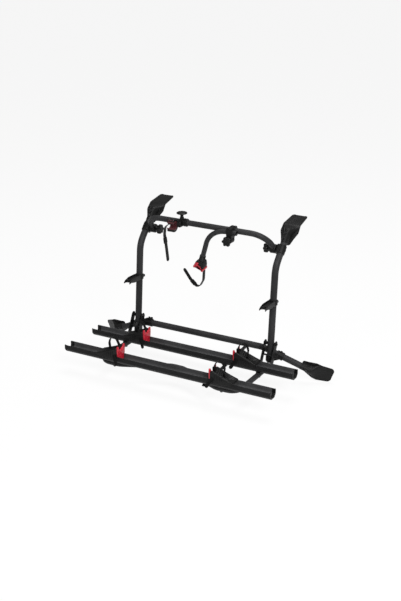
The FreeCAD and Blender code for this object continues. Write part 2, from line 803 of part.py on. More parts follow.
rail_ys = {"front": -rail_pitch, "rear": 0.0}
rails = {name: rail(y) for name, y in rail_ys.items()}
rail_caps = []
rail_saddles = []
rail_bolts = []
front_rest_x = (front_half + upright_x - frame_corner_radius) / 2
rests = {"front": V(front_rest_x, frame_front_y, 0), "rear": V(upright_x, 0, 0)}
rest_tubes = {"front": rod(V(0, frame_front_y, frame_z), V(upright_x, frame_front_y, frame_z), platform_r),
              "rear": rod(V(upright_x, -cut_past, frame_z), V(upright_x, cut_past, frame_z), platform_r)}
for name, rest in rests.items():
    saddle = box((rest.x - saddle_half, rest.y - saddle_half, -rail_depth - saddle_drop),
                 (rest.x + saddle_half, rest.y + saddle_half, -rail_depth)).cut(rest_tubes[name])
    bolt = screw(V(rest.x, rest.y, -rail_depth + rail_wall), V(0, 0, -1),
                 -rail_depth + rail_wall - (frame_z - platform_r))
    rail_saddles = rail_saddles + pair(saddle.cut(bolt))
    rail_bolts = rail_bolts + pair(bolt)
    rail_caps = rail_caps + pair(rail_cap(rail_ys[name]))
    rails[name] = rails[name].cut(bolt).cut(mirrored(bolt))
    frame_tube = frame_tube.cut(bolt).cut(mirrored(bolt))

# Support strut: a flat bar under the platform, from below the front tube back to the door
strut_front_z = frame_z - platform_r - strut_t / 2 - strut_gap
front_slope = (half_path[3] - half_path[2]).normalize()
front_tube_y = frame_front_y + (strut_x - front_half) / front_slope.x * front_slope.y
strut_a = V(strut_x, front_tube_y - strut_lead, strut_front_z)
strut_b = V(strut_x, strut_back_y, strut_back_z)
strut = band([strut_a, strut_b], [], strut_width, strut_t, X_AXIS)
strut_dir = (strut_b - strut_a).normalize()
front_tube_solid = rod(half_path[2], half_path[3], platform_r)
strut_clip = rod(V(strut_x - strut_width / 2, front_tube_y, frame_z),
                 V(strut_x + strut_width / 2, front_tube_y, frame_z), platform_r + strut_clip_wall)
strut = join(strut, strut_clip).cut(front_tube_solid)
strut = max(strut.Solids, key=lambda s: s.Volume)
strut_foot_end = strut_b + strut_dir * strut_foot_t
strut_foot = band([strut_b, strut_foot_end], [], strut_foot_width, strut_foot_height, X_AXIS)


# Wheel holders, drawn for the right-hand side
def wheel_holder(y):
    """Chock, red insert and strap on the rail at this y."""
    x0 = chock_inner_x
    x1 = chock_inner_x + chock_length
    side_frame = place(V(0, y + chock_half_width, 0), X_AXIS, Z_AXIS)
    wedge = slab([(x0, slide_gap), (x1, slide_gap), (x1, chock_tail_height),
                  (x0 + chock_crown, chock_height, chock_corner), (x0, chock_height - chock_corner)],
                 2 * chock_half_width, side_frame)
    run = V(chock_length - chock_crown, 0, chock_tail_height - chock_height)
    start = V(x0 + chock_crown, y, chock_height) - run * groove_reach
    groove_top = start + V(0, -groove_half, 1)
    groove = Part.Face(Part.makePolygon([groove_top, start + V(0, groove_half, 1),
                                         start + V(0, 0, -groove_depth), groove_top]))
    wedge = wedge.cut(groove.extrude(run * (1 + 2 * groove_reach)))
    skirts = []
    for sign in (-1, 1):
        inner = y + sign * (chock_half_width - skirt_t)
        outer = y + sign * chock_half_width
        skirts.append(box((x0 + skirt_front, min(inner, outer), -skirt_drop),
                          (x1 - skirt_back, max(inner, outer), slide_gap + skirt_join)))
    chock = join(wedge, *skirts)
    face_frame = place(V(x0 - insert_t, y, 0), Y_AXIS, Z_AXIS)
    plate = [(-insert_low_half, insert_low_z, insert_corner), (insert_low_half, insert_low_z, insert_corner),
             (insert_low_half, slide_gap), (insert_half, slide_gap), (insert_half, insert_top, horn_corner),
             (notch_half, insert_top, notch_corner), (0, notch_z, notch_root),
             (-notch_half, insert_top, notch_corner), (-insert_half, insert_top, horn_corner),
             (-insert_half, slide_gap), (-insert_low_half, slide_gap)]
    insert = slab(plate, insert_t, face_frame)
    loop_points = [V(p[0], y, p[1]) for p in wheel_loop]
    loop = band(loop_points, [wheel_loop_radius] * (len(loop_points) - 2), strap_w, strap_t, Y_AXIS)
    loop = loop.cut(chock)
    loop = max(loop.Solids, key=lambda s: s.Volume)
    face = V(0, y - chock_half_width, 0)
    tail_run = V(*tail_tip) - V(*tail_root)
    tail = band([face + V(*tail_root), face + V(*tail_tip)], [], strap_w, strap_t, tail_run.cross(Y_AXIS))
    tail = max(tail.cut(chock).Solids, key=lambda s: s.Volume)
    return chock, insert, [loop, tail]


for name, y in rail_ys.items():
    chock, insert, strap = wheel_holder(y)
    for side in ("left", "right"):
        shapes = {"wheel_chock": [chock], "wheel_insert": [insert], "wheel_strap": strap}
        for what, solids in shapes.items():
            if side == "left":
                solids = [mirrored(s) for s in solids]
            nodes[f"{what}_{name}_{side}"] = solids

# Platform clips
fold = FreeCAD.Rotation(X_AXIS, -fold_angle)
hinge_side = V(0, hinge_y, hinge_z)
folded_arm = [fold.multVec(V(0, y, frame_z) - hinge_side) + hinge_side for y in (0.0, frame_front_y)]
folded_dir = (folded_arm[1] - folded_arm[0]).normalize()
seat = folded_arm[0] + folded_dir * ((clip_z - folded_arm[0].z) / folded_dir.z)
seat_y = seat.y
clip_bore_r = platform_r + clip_mouth_gap
clip_outer = clip_bore_r + clip_finger
clip_upright_y = upright_y(clip_z)
clip_ring_r = upright_r + clip_wall
tip_y = seat_y - clip_tip_reach
tab_y = clip_upright_y + upright_r + clip_tab
clip_low = clip_z - cut_past
clip_high = clip_z + cut_past
side_profile = [(tip_y, clip_z + rise) for rise in clip_tip_rises]
side_profile = side_profile + [(seat_y + dy, clip_z + dz) for dy, dz in clip_claw]
side_profile = side_profile + [(clip_upright_y - clip_under_forward, clip_z - clip_half_height),
                               (tab_y, clip_z - clip_tab_low, clip_tab_corner),
                               (tab_y, clip_z - clip_tab_high, clip_tab_corner),
                               (clip_upright_y, clip_z + clip_shoulder)]
side_profile = side_profile + [(seat_y + dy, clip_z + dz, corner)
                               for dy, dz, corner in (clip_crown, clip_brow, clip_nose)]
clip_axis = [V(upright_x, clip_upright_y, clip_low), V(upright_x, clip_upright_y, clip_high)]
plan = join(rod(clip_axis[0], clip_axis[1], clip_ring_r),
            box((upright_x - clip_outer, tip_y, clip_low),
                (upright_x + clip_outer, clip_upright_y, clip_high)),
            box((upright_x - clip_tab_half, clip_upright_y, clip_low),
                (upright_x + clip_tab_half, tab_y, clip_high)))
profile = slab(side_profile, 2 * upright_x, place(V(0, 0, 0), Y_AXIS, Z_AXIS))
clip = plan.common(profile)
clip_seat = V(upright_x, seat_y, clip_z)
arm_bore = rod(clip_seat - folded_dir * cut_past, clip_seat + folded_dir * cut_past, clip_bore_r)
mouth = slab([(-clip_bore_r, 0), (clip_bore_r, 0), (clip_bore_r, cut_past), (-clip_bore_r, cut_past)],
             2 * cut_past, place(clip_seat, X_AXIS, X_AXIS.cross(folded_dir)), -cut_past)
clip = clip.cut(arm_bore).cut(mouth)
clip = clip.cut(rod(foot_end, knee, upright_r))
clip = clip.cut(box((upright_x - clip_slot_half, seat_y + clip_outer + clip_slot_start, clip_low),
                    (upright_x + clip_slot_half, clip_upright_y - clip_ring_r - clip_slot_wall, clip_high)))
clip = clip.cut(box((upright_x - clip_split / 2, clip_upright_y, clip_low),
                    (upright_x + clip_split / 2, tab_y + 1, clip_high)))
clip_bolt_y = clip_upright_y + upright_r + clip_bolt_back
clip_bolt_at = V(upright_x - clip_tab_half, clip_bolt_y, clip_z - clip_bolt_drop)
clip_bolt = screw(clip_bolt_at, X_AXIS, 2 * clip_tab_half, small_bolt_d)
clip = clip.cut(clip_bolt)


# Short frame holder
def on_bar(x, dy=0.0, dz=0.0):
    """Point at this x beside the upper bar's axis."""
    return V(x, bar_y + dy, bar_z + dz)


ring_r = bar_r + ring_wall
bar_reach = bar_half - bar_radius
bar_solid = rod(on_bar(-bar_reach), on_bar(bar_reach), bar_r + turn_gap)
short_boss_top = short_boss_z + short_boss_over
short_clamp = join(rod(on_bar(short_x[0]), on_bar(short_x[1]), ring_r),
                   box((short_block_x[0], bar_y - jaw_forward + jaw_bore_r - short_arm_sink,
                        bar_z - jaw_drop - short_arm_low),
                       (short_block_x[1], bar_y, bar_z - jaw_drop + short_arm_high)),
                   rod(on_bar(short_block_x[0]), on_bar(short_block_x[1]), ring_r),
                   rod(on_bar(short_boss_x), on_bar(short_boss_x, 0, short_boss_top),
                       stem_r + short_boss_wall))
stem_hole = rod(on_bar(short_boss_x), on_bar(short_boss_x, 0, cut_past), stud_d / 2 + hole_gap)
short_clamp = short_clamp.cut(bar_solid).cut(stem_hole)
knob_low = short_boss_top + short_knob_gap
mushroom_base = on_bar(short_boss_x, 0, short_knob_z)
mushroom = Part.makeCylinder(mushroom_r, mushroom_t, mushroom_base, Z_AXIS)
mushroom = mushroom.makeFillet(mushroom_edge, round_edges(mushroom))
short_knob = join(mushroom,
                  rod(on_bar(short_boss_x, 0, knob_low), mushroom_base + V(0, 0, knob_join), stem_r),
                  rod(on_bar(short_boss_x, 0, bar_r + short_knob_gap),
                      on_bar(short_boss_x, 0, knob_low + stud_inset), stud_d / 2))

jaw_x1 = short_block_x[0]
jaw_x0 = jaw_x1 - jaw_length
jaw_mid = on_bar(jaw_x0, -jaw_forward, -jaw_drop)
jaw_cut_y = jaw_mid.y - jaw_mouth


def jaw_part(outer_r, inner_r):
    """C-shaped length along X that opens forwards."""
    shape = rod(jaw_mid, jaw_mid + V(jaw_length, 0, 0), outer_r, inner_r)
    keep = box((jaw_x0, jaw_cut_y, jaw_mid.z - cut_past),
               (jaw_x1, jaw_mid.y + cut_past, jaw_mid.z + cut_past))
    return shape.common(keep)


short_jaw = jaw_part(jaw_r, jaw_bore_r)
short_liner = jaw_part(jaw_bore_r, jaw_bore_r - liner_t)
lug_low = jaw_mid.z - strap_lug_drop
strap_lug = box((jaw_x0 - strap_lug_length, short_strap_y - strap_lug_half, lug_low),
                (jaw_x0, short_strap_y + strap_lug_half, jaw_mid.z + strap_lug_rise))
short_strap_root = V(jaw_x0 - strap_lug_length / 2, short_strap_y, lug_low + holder_strap_t / 2)
short_strap_points = [short_strap_root] + [V(x, short_strap_y, z) for x, z in short_strap]
short_strap_solid = band(short_strap_points, [short_strap_radius] * 3, holder_strap_w, holder_strap_t, Y_AXIS)
# The loose end hangs back a little, which keeps it clear of the front rail when the platform is folded up.
short_strap_solid.rotate(short_strap_root, X_AXIS, short_strap_lean)
short_strap_solid = short_strap_solid.cut(strap_lug)

# Long frame holder
cane_y = bar_y - cane_forward
cane_z = bar_z - cane_z_drop
cane_r = cane_d / 2
cane_corner = V(cane_corner_x, cane_y, cane_z)
cane_run = (cane_foot - cane_corner).normalize()
head_neck = cane_foot - cane_run * (head_height / 2)
cane = tube([V(cane_end_x, cane_y, cane_z), cane_corner, head_neck], [cane_radius], cane_d)
collar = rod(head_neck - cane_run * collar_length, head_neck, cane_r + collar_wall, cane_r)
head_frame = place(head_neck, V(cane_run.z, 0, -cane_run.x) * -1, cane_run * -1)
long_head = slab([(-head_top_half, 0, head_corner), (-head_half, -head_height), (head_half, -head_height),
                  (head_top_half, 0, head_corner)], head_depth, head_frame, -head_depth / 2)
head_base = V(0, -head_height, -head_depth / 2)
long_bore = Part.makeCylinder(head_bore_r, head_depth, head_base)
long_bore.Placement = head_frame
long_core = Part.makeCylinder(head_bore_r - liner_t, head_depth, head_base)
long_core.Placement = head_frame
below = slab([(-cut_past, -head_height - cut_past), (cut_past, -head_height - cut_past),
              (cut_past, -head_height), (-cut_past, -head_height)], head_depth, head_frame, -head_depth / 2)
long_head = long_head.cut(long_bore)
long_liner = long_bore.cut(long_core).cut(below)

clamp_low, clamp_high = long_clamp_x
long_mid = (clamp_low + clamp_high) / 2
block_front = cane_y - cane_r - long_block_wall
lug_back = cane_y + cane_r + long_lug_back
long_block = join(box((clamp_low, block_front, bar_z - long_block_half),
                      (clamp_high, bar_y + bar_r + long_block_wall, bar_z + long_block_half)),
                  rod(V(long_mid, block_front, long_lug_z), V(long_mid, lug_back, long_lug_z), long_lug_r),
                  box((clamp_low, block_front, long_lug_z), (clamp_high, lug_back, bar_z - long_lug_join)))
cane_hole = rod(V(clamp_low - cut_past, cane_y, cane_z), V(clamp_high + cut_past, cane_y, cane_z), cane_r)
long_block = long_block.cut(bar_solid).cut(cane_hole)
long_stud_end = V(long_mid, cane_y + cane_r, long_lug_z)
long_seat = V(long_mid, block_front - clamp_gap, long_lug_z)
long_block = long_block.cut(rod(long_seat, long_stud_end, stud_d / 2 + hole_gap))
long_star_frame = place(long_seat - V(0, long_neck + long_star_t, 0), X_AXIS * -1, Z_AXIS)
long_knob = join(star(long_star_frame, star_r, long_star_t),
                 rod(long_seat - V(0, long_neck + knob_join, 0), long_seat, star_neck_r),
                 rod(long_seat - V(0, knob_join, 0), long_stud_end - V(0, stud_inset, 0), stud_d / 2))
strap_root = head_frame.multVec(V((head_bore_r + head_half) / 2, long_strap_sink - head_height, 0))
long_strap_points = [strap_root] + [V(x, strap_root.y, z) for x, z in long_strap]
long_strap_solid = band(long_strap_points, long_strap_radii, holder_strap_w, holder_strap_t, Y_AXIS)
long_strap_solid = max(long_strap_solid.cut(long_head).Solids, key=lambda s: s.Volume)

# Nodes
nodes["upright_right"] = [upright]
nodes["upright_left"] = [mirrored(upright)]
nodes["top_bracket_right"] = [hook]
nodes["top_bracket_left"] = [mirrored(hook)]
nodes["hook_pads"] = pair(hook_pad)
nodes["bracket_bolts"] = [s for b in hook_bolts + foot_bolts for s in pair(b)]
nodes["lower_cross_tube"] = [cross_tube]
nodes["left_arm_tube"] = [left_arm]
nodes["arm_coupling"] = [coupling]
nodes["foot_clamp_right"] = [foot_clamp_right]
nodes["foot_clamp_left"] = [foot_clamp_left]
nodes["clamp_bolts"] = coupling_bolts + [right_clamp_bolt, left_clamp_bolt] + pair(clip_bolt)
nodes["foot_bracket_right"] = [foot]
nodes["foot_bracket_left"] = [mirrored(foot)]
nodes["foot_pads"] = pair(foot_pad)
nodes["clamp_inner_halves"] = pair(inner_half)
nodes["clamp_outer_halves"] = pair(outer_half)
nodes["platform_clip_right"] = [clip]
nodes["platform_clip_left"] = [mirrored(clip)]
nodes["hinge_bolts"] = pair(hinge_bolt)
nodes["hinge_bushes"] = [s for b in bushes for s in pair(b)]
nodes["crossbar"] = [crossbar]
nodes["bar_end_blocks"] = pair(end_block)
nodes["clamp_knob_right"] = [knob_body]
nodes["clamp_knob_left"] = [mirrored(knob_body)]
nodes["short_holder_clamp"] = [short_clamp]
nodes["short_holder_jaw"] = [short_jaw]
nodes["short_holder_liner"] = [short_liner]
nodes["short_holder_strap"] = [strap_lug, short_strap_solid]
nodes["short_holder_knob"] = [short_knob]
nodes["long_holder_clamp"] = [long_block]
nodes["long_holder_tube"] = [cane]
nodes["long_holder_collar"] = [collar]
nodes["long_holder_jaw"] = [long_head]
nodes["long_holder_liner"] = [long_liner]
nodes["long_holder_strap"] = [long_strap_solid]
nodes["long_holder_knob"] = [long_knob]
nodes["platform_frame"] = [frame_tube]
nodes["hinge_plates_right"] = hinge_plates
nodes["hinge_plates_left"] = [mirrored(p) for p in hinge_plates]
nodes["stop_pins"] = pair(stop_pin)
nodes["rail_front"] = [rails["front"]]
nodes["rail_rear"] = [rails["rear"]]
nodes["rail_end_caps"] = rail_caps
nodes["rail_saddles"] = rail_saddles
nodes["rail_bolts"] = rail_bolts
nodes["support_strut"] = [strut]
nodes["strut_foot"] = [strut_foot]

os.makedirs("parts", exist_ok=True)
for name, solids in nodes.items():
    shapes = []
    for solid in solids:
        moved = solid.copy()
        moved.translate(origin_shift)
        shapes.append(moved)
        if not moved.isValid() or len(moved.Solids) != 1:
            print("check", name, moved.isValid(), len(moved.Solids))
    shape = shapes[0] if len(shapes) == 1 else Part.makeCompound(shapes)
    shape.exportStep(f"parts/{name}.step")
    size = shape.BoundBox
    volume = sum(s.Volume for s in shapes) / 1000
    print(f"{name:28s} {len(shapes)} solids, {volume:9.1f} cm3, x {size.XMin:7.1f} {size.XMax:7.1f}, "
          f"y {size.YMin:7.1f} {size.YMax:7.1f}, z {size.ZMin:7.1f} {size.ZMax:7.1f}")


def shifted(p):
    """The point's place in the carrier's own frame, in metres."""
    q = p + origin_shift
    return [round(q.x / 1000, 5), round(q.y / 1000, 5), round(q.z / 1000, 5)]


print(len(nodes), "nodes; shift", origin_shift)
print("hook face", shifted(hook_face), "normal", hook_normal)
print("platform hinge", shifted(V(0, hinge_y, hinge_z)))
print("bar pivot", shifted(V(0, bar_pivot.y, bar_pivot.z)), "bar axis", shifted(V(0, bar_y, bar_z)))
print("short knob", shifted(mushroom_base), "long knob", shifted(long_seat))
foot_face = foot_flange_frame.multVec(V(0, foot_flange / 2, -pad_t))
print("strut foot", shifted(strut_foot_end), strut_dir)
print("foot face", shifted(foot_face), "normal", foot_flange_frame.Rotation.multVec(V(0, 0, -1)))
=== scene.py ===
import bmesh
import bpy
import numpy as np
from math import atan2, cos, pi, radians, sin, tan
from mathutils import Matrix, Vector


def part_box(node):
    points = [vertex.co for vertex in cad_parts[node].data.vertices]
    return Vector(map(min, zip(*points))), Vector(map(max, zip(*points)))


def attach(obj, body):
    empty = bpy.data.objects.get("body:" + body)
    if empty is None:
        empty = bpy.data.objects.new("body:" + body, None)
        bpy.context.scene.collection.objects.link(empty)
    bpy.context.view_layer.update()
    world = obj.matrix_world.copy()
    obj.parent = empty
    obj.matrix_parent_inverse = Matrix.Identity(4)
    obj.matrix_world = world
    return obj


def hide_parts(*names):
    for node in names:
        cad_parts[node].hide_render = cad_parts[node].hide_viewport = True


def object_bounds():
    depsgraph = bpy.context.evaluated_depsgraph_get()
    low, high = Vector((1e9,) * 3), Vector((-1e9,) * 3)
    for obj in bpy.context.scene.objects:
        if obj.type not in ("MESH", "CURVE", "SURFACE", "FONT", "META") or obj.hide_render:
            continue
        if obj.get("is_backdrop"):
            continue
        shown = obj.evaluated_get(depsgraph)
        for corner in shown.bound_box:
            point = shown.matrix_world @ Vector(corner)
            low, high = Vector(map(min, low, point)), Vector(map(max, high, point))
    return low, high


# Van bike carrier, dressed over its CAD frame. Lengths are written in millimetres from the middle
# of the rear wheel rail, +X across the van, +Y towards its door and +Z up, and each mesh is moved
# to the carrier's own frame, whose origin is midway between the two door hooks, when it is made.
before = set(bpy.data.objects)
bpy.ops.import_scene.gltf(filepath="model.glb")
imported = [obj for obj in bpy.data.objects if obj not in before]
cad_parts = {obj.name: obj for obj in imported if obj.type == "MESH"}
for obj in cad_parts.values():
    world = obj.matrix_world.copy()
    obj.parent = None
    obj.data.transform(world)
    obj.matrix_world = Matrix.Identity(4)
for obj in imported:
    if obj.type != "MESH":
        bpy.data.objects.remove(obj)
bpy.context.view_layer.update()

# The two uprights
# 38 mm steel tube, bent once where the van's door slopes away, powder coated in satin anthracite.
# The lower end is closed with a ribbed plastic plug, the upper end is inside the door hook.
RAIL_TO_HOOKS = np.array([0.0, -430.07911, -693.68861])
ACROSS = np.array([1.0, 0.0, 0.0])
TO_DOOR = np.array([0.0, 1.0, 0.0])
UP = np.array([0.0, 0.0, 1.0])
MIRROR = np.array([-1.0, 1.0, 1.0])
TUBE_WALL = 1.5


def unit(v):
    """The vector, or each row of vectors, divided by its length."""
    v = np.asarray(v, float)
    return v / np.linalg.norm(v, axis=-1, keepdims=True)


def bend_path(points, radii, step=5.0):
    """Centre line of a bent tube and its directions: straight runs, and at each inner corner an
    arc, centre + radius * (-out * cos a + along * sin a), that leaves both runs on a tangent."""
    points = [np.asarray(p, float) for p in points]
    at, way = [points[0]], [unit(points[1] - points[0])]
    for i, radius in enumerate(radii, start=1):
        a, b = unit(points[i] - points[i - 1]), unit(points[i + 1] - points[i])
        turn = np.arccos(np.clip(a @ b, -1, 1))
        start = points[i] - a * radius * tan(turn / 2)
        out = unit(b - a * (a @ b))
        angle = np.linspace(0, turn, max(4, int(radius * turn / step)))[:, None]
        at.extend(start + out * radius * (1 - np.cos(angle)) + a * radius * np.sin(angle))
        way.extend(a * np.cos(angle) + out * np.sin(angle))
    at.append(points[-1])
    way.append(unit(points[-1] - points[-2]))
    return np.array(at), np.array(way)


def circle(radius, count=36):
    """Points of a circle: radius * (cos a, sin a)."""
    a = np.linspace(0, 2 * pi, count, endpoint=False)
    return radius * np.stack([np.cos(a), np.sin(a)], 1)


def carried(profile, path, side):
    """Rings of a profile carried along a path: point + u * side + v * over, where side is made
    square to the path's direction and over is square to both. The profile may change by ring."""
    at, way = path
    s = unit(side - (way @ side)[:, None] * way)
    over = np.cross(s, way)
    profile = np.asarray(profile, float)
    profile = profile if profile.ndim == 3 else np.repeat(profile[None], len(at), 0)
    return at[:, None] + profile[..., :1] * s[:, None] + profile[..., 1:2] * over[:, None]


def skin(rings, closed=False):
    """Vertices and faces over rings of points: one quad between each four neighbours, round every
    ring, with the first and last ring either capped or, for a closed skin, joined to each other."""
    rows, cols = rings.shape[:2]
    index = np.arange(rows * cols).reshape(rows, cols)
    if closed:
        index = np.vstack([index, index[:1]])
    ahead = np.roll(index, -1, axis=1)
    quads = np.stack([index[:-1], ahead[:-1], ahead[1:], index[1:]], -1).reshape(-1, 4).tolist()
    if not closed:
        quads += [index[0, ::-1].tolist(), index[-1].tolist()]
    return rings.reshape(-1, 3), quads


def pipe(points, radii, outer, side, count=36):
    """Tube with a wall: the outer rings run out along the path and the inner ones come back."""
    path = bend_path(points, radii)
    outside, inside = (carried(circle(r, count), path, side) for r in (outer, outer - TUBE_WALL))
    return skin(np.concatenate([outside, inside[::-1]]), closed=True)


def square_to(axis):
    """A direction square to a unit axis."""
    return unit(np.cross(axis, UP if abs(axis[2]) < 0.9 else ACROSS))


def turned(profile, origin, axis, count=32):
    """Turned part: each (height, radius) of the profile becomes a ring about the axis."""
    profile, axis = np.asarray(profile, float), unit(axis)
    side = square_to(axis)
    ring = circle(1.0, count)
    spokes = ring[:, :1] * side + ring[:, 1:] * np.cross(axis, side)
    return skin(np.asarray(origin, float) + profile[:, 0][:, None, None] * axis
                + profile[:, 1][:, None, None] * spokes)


def mirrored(part):
    """The same part on the van's other side."""
    return part[0] * MIRROR, part[1]


def both(parts):
    """Parts and then their mirror images."""
    return parts + [mirrored(part) for part in parts]


def sides(*groups):
    """Each side of the van by its name, followed by the groups of parts that lie on it."""
    return ("right", *groups), ("left", *([mirrored(part) for part in group] for group in groups))


def piece(name, body, finish, parts, replaces=(), sharp=32):
    """One finished object from parts given in millimetres: merged, turned outwards, shaded
    smooth up to the sharp angle, riding on its body and standing for the CAD nodes named."""
    points, faces, first = [], [], 0
    for vertices, quads in parts:
        points.append(vertices)
        faces += [[first + i for i in face] for face in quads]
        first += len(vertices)
    mesh = bpy.data.meshes.new(name)
    mesh.from_pydata(((np.concatenate(points) + RAIL_TO_HOOKS) / 1000).tolist(), [], faces)
    work = bmesh.new()
    work.from_mesh(mesh)
    bmesh.ops.remove_doubles(work, verts=work.verts, dist=1e-6)
    bmesh.ops.recalc_face_normals(work, faces=work.faces)
    work.to_mesh(mesh)
    work.free()
    mesh.shade_smooth()
    mesh.set_sharp_from_angle(angle=radians(sharp))
    mesh.materials.append(finish)
    made = bpy.data.objects.new(name, mesh)
    bpy.context.scene.collection.objects.link(made)
    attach(made, body)
    if replaces:
        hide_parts(*([replaces] if isinstance(replaces, str) else replaces))


class Node:
    """An output socket of a shader graph that can be added, multiplied and compared."""

    def __init__(self, tree, socket):
        self.tree, self.socket = tree, socket

    def make(self, kind, settings=None, **values):
        """A node of a type with its settings and socket values or links; its first output."""
        node = self.tree.nodes.new(kind)
        for key, value in (settings or {}).items():
            setattr(node, key, value)
        for key, value in values.items():
            numbered = key[0] == "i" and key[1:].isdigit()
            spot = node.inputs[int(key[1:]) if numbered else key.replace("_", " ")]
            if isinstance(value, Node):
                self.tree.links.new(value.socket, spot)
            else:
                spot.default_value = value
        return Node(self.tree, node.outputs[0])

    def out(self, name):
        """Another output of the same node."""
        return Node(self.tree, self.socket.node.outputs[name])

    def maths(self, operation, other, swapped=False):
        """A Math node on this value and another."""
        a, b = (other, self) if swapped else (self, other)
        return self.make("ShaderNodeMath", {"operation": operation}, i0=a, i1=b)

    def __add__(self, other):
        return self.maths("ADD", other)

    def __radd__(self, other):
        return self.maths("ADD", other, True)

    def __sub__(self, other):
        return self.maths("SUBTRACT", other)

    def __rsub__(self, other):
        return self.maths("SUBTRACT", other, True)

    def __mul__(self, other):
        return self.maths("MULTIPLY", other)

    def __rmul__(self, other):
        return self.maths("MULTIPLY", other, True)

    def between(self, low, high):
        """0 below low, 1 above high, and smooth between."""
        return self.make("ShaderNodeMapRange", {"interpolation_type": "SMOOTHSTEP"}, Value=self,
                         From_Min=low, From_Max=high)

    def noise(self, scale, detail=3.0, roughness=0.5, stretch=(1, 1, 1)):
        """Noise on these coordinates, finer by scale and drawn out by stretch; from 0 to 1."""
        moved = self.make("ShaderNodeMapping", Vector=self, Scale=stretch)
        return self.make("ShaderNodeTexNoise", Vector=moved, Scale=scale, Detail=detail, Roughness=roughness)

    def blend(self, *colours):
        """Colour between two by this factor; a single number stands for a grey."""
        low, high = (c if isinstance(c, Node) else (*np.broadcast_to(c, 3), 1) for c in colours)
        return self.make("ShaderNodeMix", {"data_type": "RGBA"}, i0=self, i6=low, i7=high).out("Result")


def material(name, slot, **constants):
    """A new material: its Principled shader, with constants set on its own sockets, and the
    object coordinates that its patterns are drawn on."""
    made = bpy.data.materials.new(name)
    made.use_nodes = True
    made["slot"] = slot
    tree = made.node_tree
    shader = tree.nodes["Principled BSDF"]
    for key, value in constants.items():
        shader.inputs[key.replace("_", " ")].default_value = value
    coordinates = tree.nodes.new("ShaderNodeTexCoord")
    return made, shader, Node(tree, coordinates.outputs["Object"])


def into(shader, **sockets):
    """Links outputs to the shader's sockets; height goes through a Bump node in metres."""
    for key, value in sockets.items():
        if key == "height":
            bump = value.make("ShaderNodeBump", Height=value, Strength=1.0, Distance=0.001)
            value.tree.links.new(bump.socket, shader.inputs["Normal"])
        else:
            value.tree.links.new(value.socket, shader.inputs[key.replace("_", " ")])


def powder_coat():
    """Satin powder coat: cloudy grey, a fine orange peel, and faint polished patches."""
    made, shader, at = material("satin anthracite coat", "anthracite_paint", Specular_IOR_Level=0.1)
    cloud, peel, handled = at.noise(9, 4), at.noise(650, 2), at.noise(28, 5, 0.6)
    into(shader, Base_Color=cloud.between(0.3, 0.7).blend((0.022, 0.022, 0.023), (0.031, 0.031, 0.032)),
         Roughness=0.36 + handled.between(0.35, 0.75) * 0.12 + peel * 0.05, height=peel * 0.10)
    return made


COAT = powder_coat()
UPRIGHT_X, UPRIGHT_Y, UPRIGHT_R = 429.0, 134.0, 19.0
LOWER_LEAN, UPPER_LEAN = tan(radians(4.4)), radians(42.5)
UPPER_WAY = np.array([0.0, sin(UPPER_LEAN), cos(UPPER_LEAN)])


def on_upright(z):
    """Point on the axis of the right upright's lower run, at a height."""
    return np.array([UPRIGHT_X, UPRIGHT_Y + z * LOWER_LEAN, z])


knee, tube_foot = on_upright(497.4), on_upright(-38.0)
tube_top = knee + 215 * UPPER_WAY
LOWER_WAY = unit(knee - tube_foot)
upright = pipe([tube_foot, knee, tube_top], [125], UPRIGHT_R, ACROSS)


def moulded(name, slot, dark, light, rough, grain=1400.0, **constants):
    """Moulded plastic or rubber: a fine spark-eroded grain, a slight drift in tone, scuffed sheen."""
    made, shader, at = material(name, slot, **constants)
    fine, drift, scuff = at.noise(grain, 2), at.noise(14, 3), at.noise(60, 4, 0.65)
    into(shader, Base_Color=drift.between(0.3, 0.7).blend(dark, light),
         Roughness=rough + scuff.between(0.4, 0.8) * 0.10 + fine * 0.06, height=fine * 0.08)
    return made


PLASTIC = moulded("black moulded plastic", "black_plastic", 0.004, 0.007, 0.42, Specular_IOR_Level=0.2)
plug_profile = [(-4, 0), (-4, 16), (-3, 18.4), (0, 19), (0, 17.3), (14, 17.3), (14, 16), (14, 0)]
foot_plug = turned(plug_profile, tube_foot, LOWER_WAY)
for side, (tube, plug) in sides([upright, foot_plug]):
    piece(f"upright_tube_{side}", "door_frame", COAT, [tube], f"upright_{side}")
    piece(f"upright_plug_{side}", "door_frame", PLASTIC, [plug])

# The door hooks and the feet
# Four deep-drawn brackets: a funnel that grips the tube's end, opening into a wide plate whose
# lip folds over the door's edge or lies on its skin. Bolted through the tube; rubber soles below.


def smooth(t):
    """0 below 0, 1 above 1, and 3t^2 - 2t^3 between."""
    t = np.clip(t, 0, 1)
    return t * t * (3 - 2 * t)


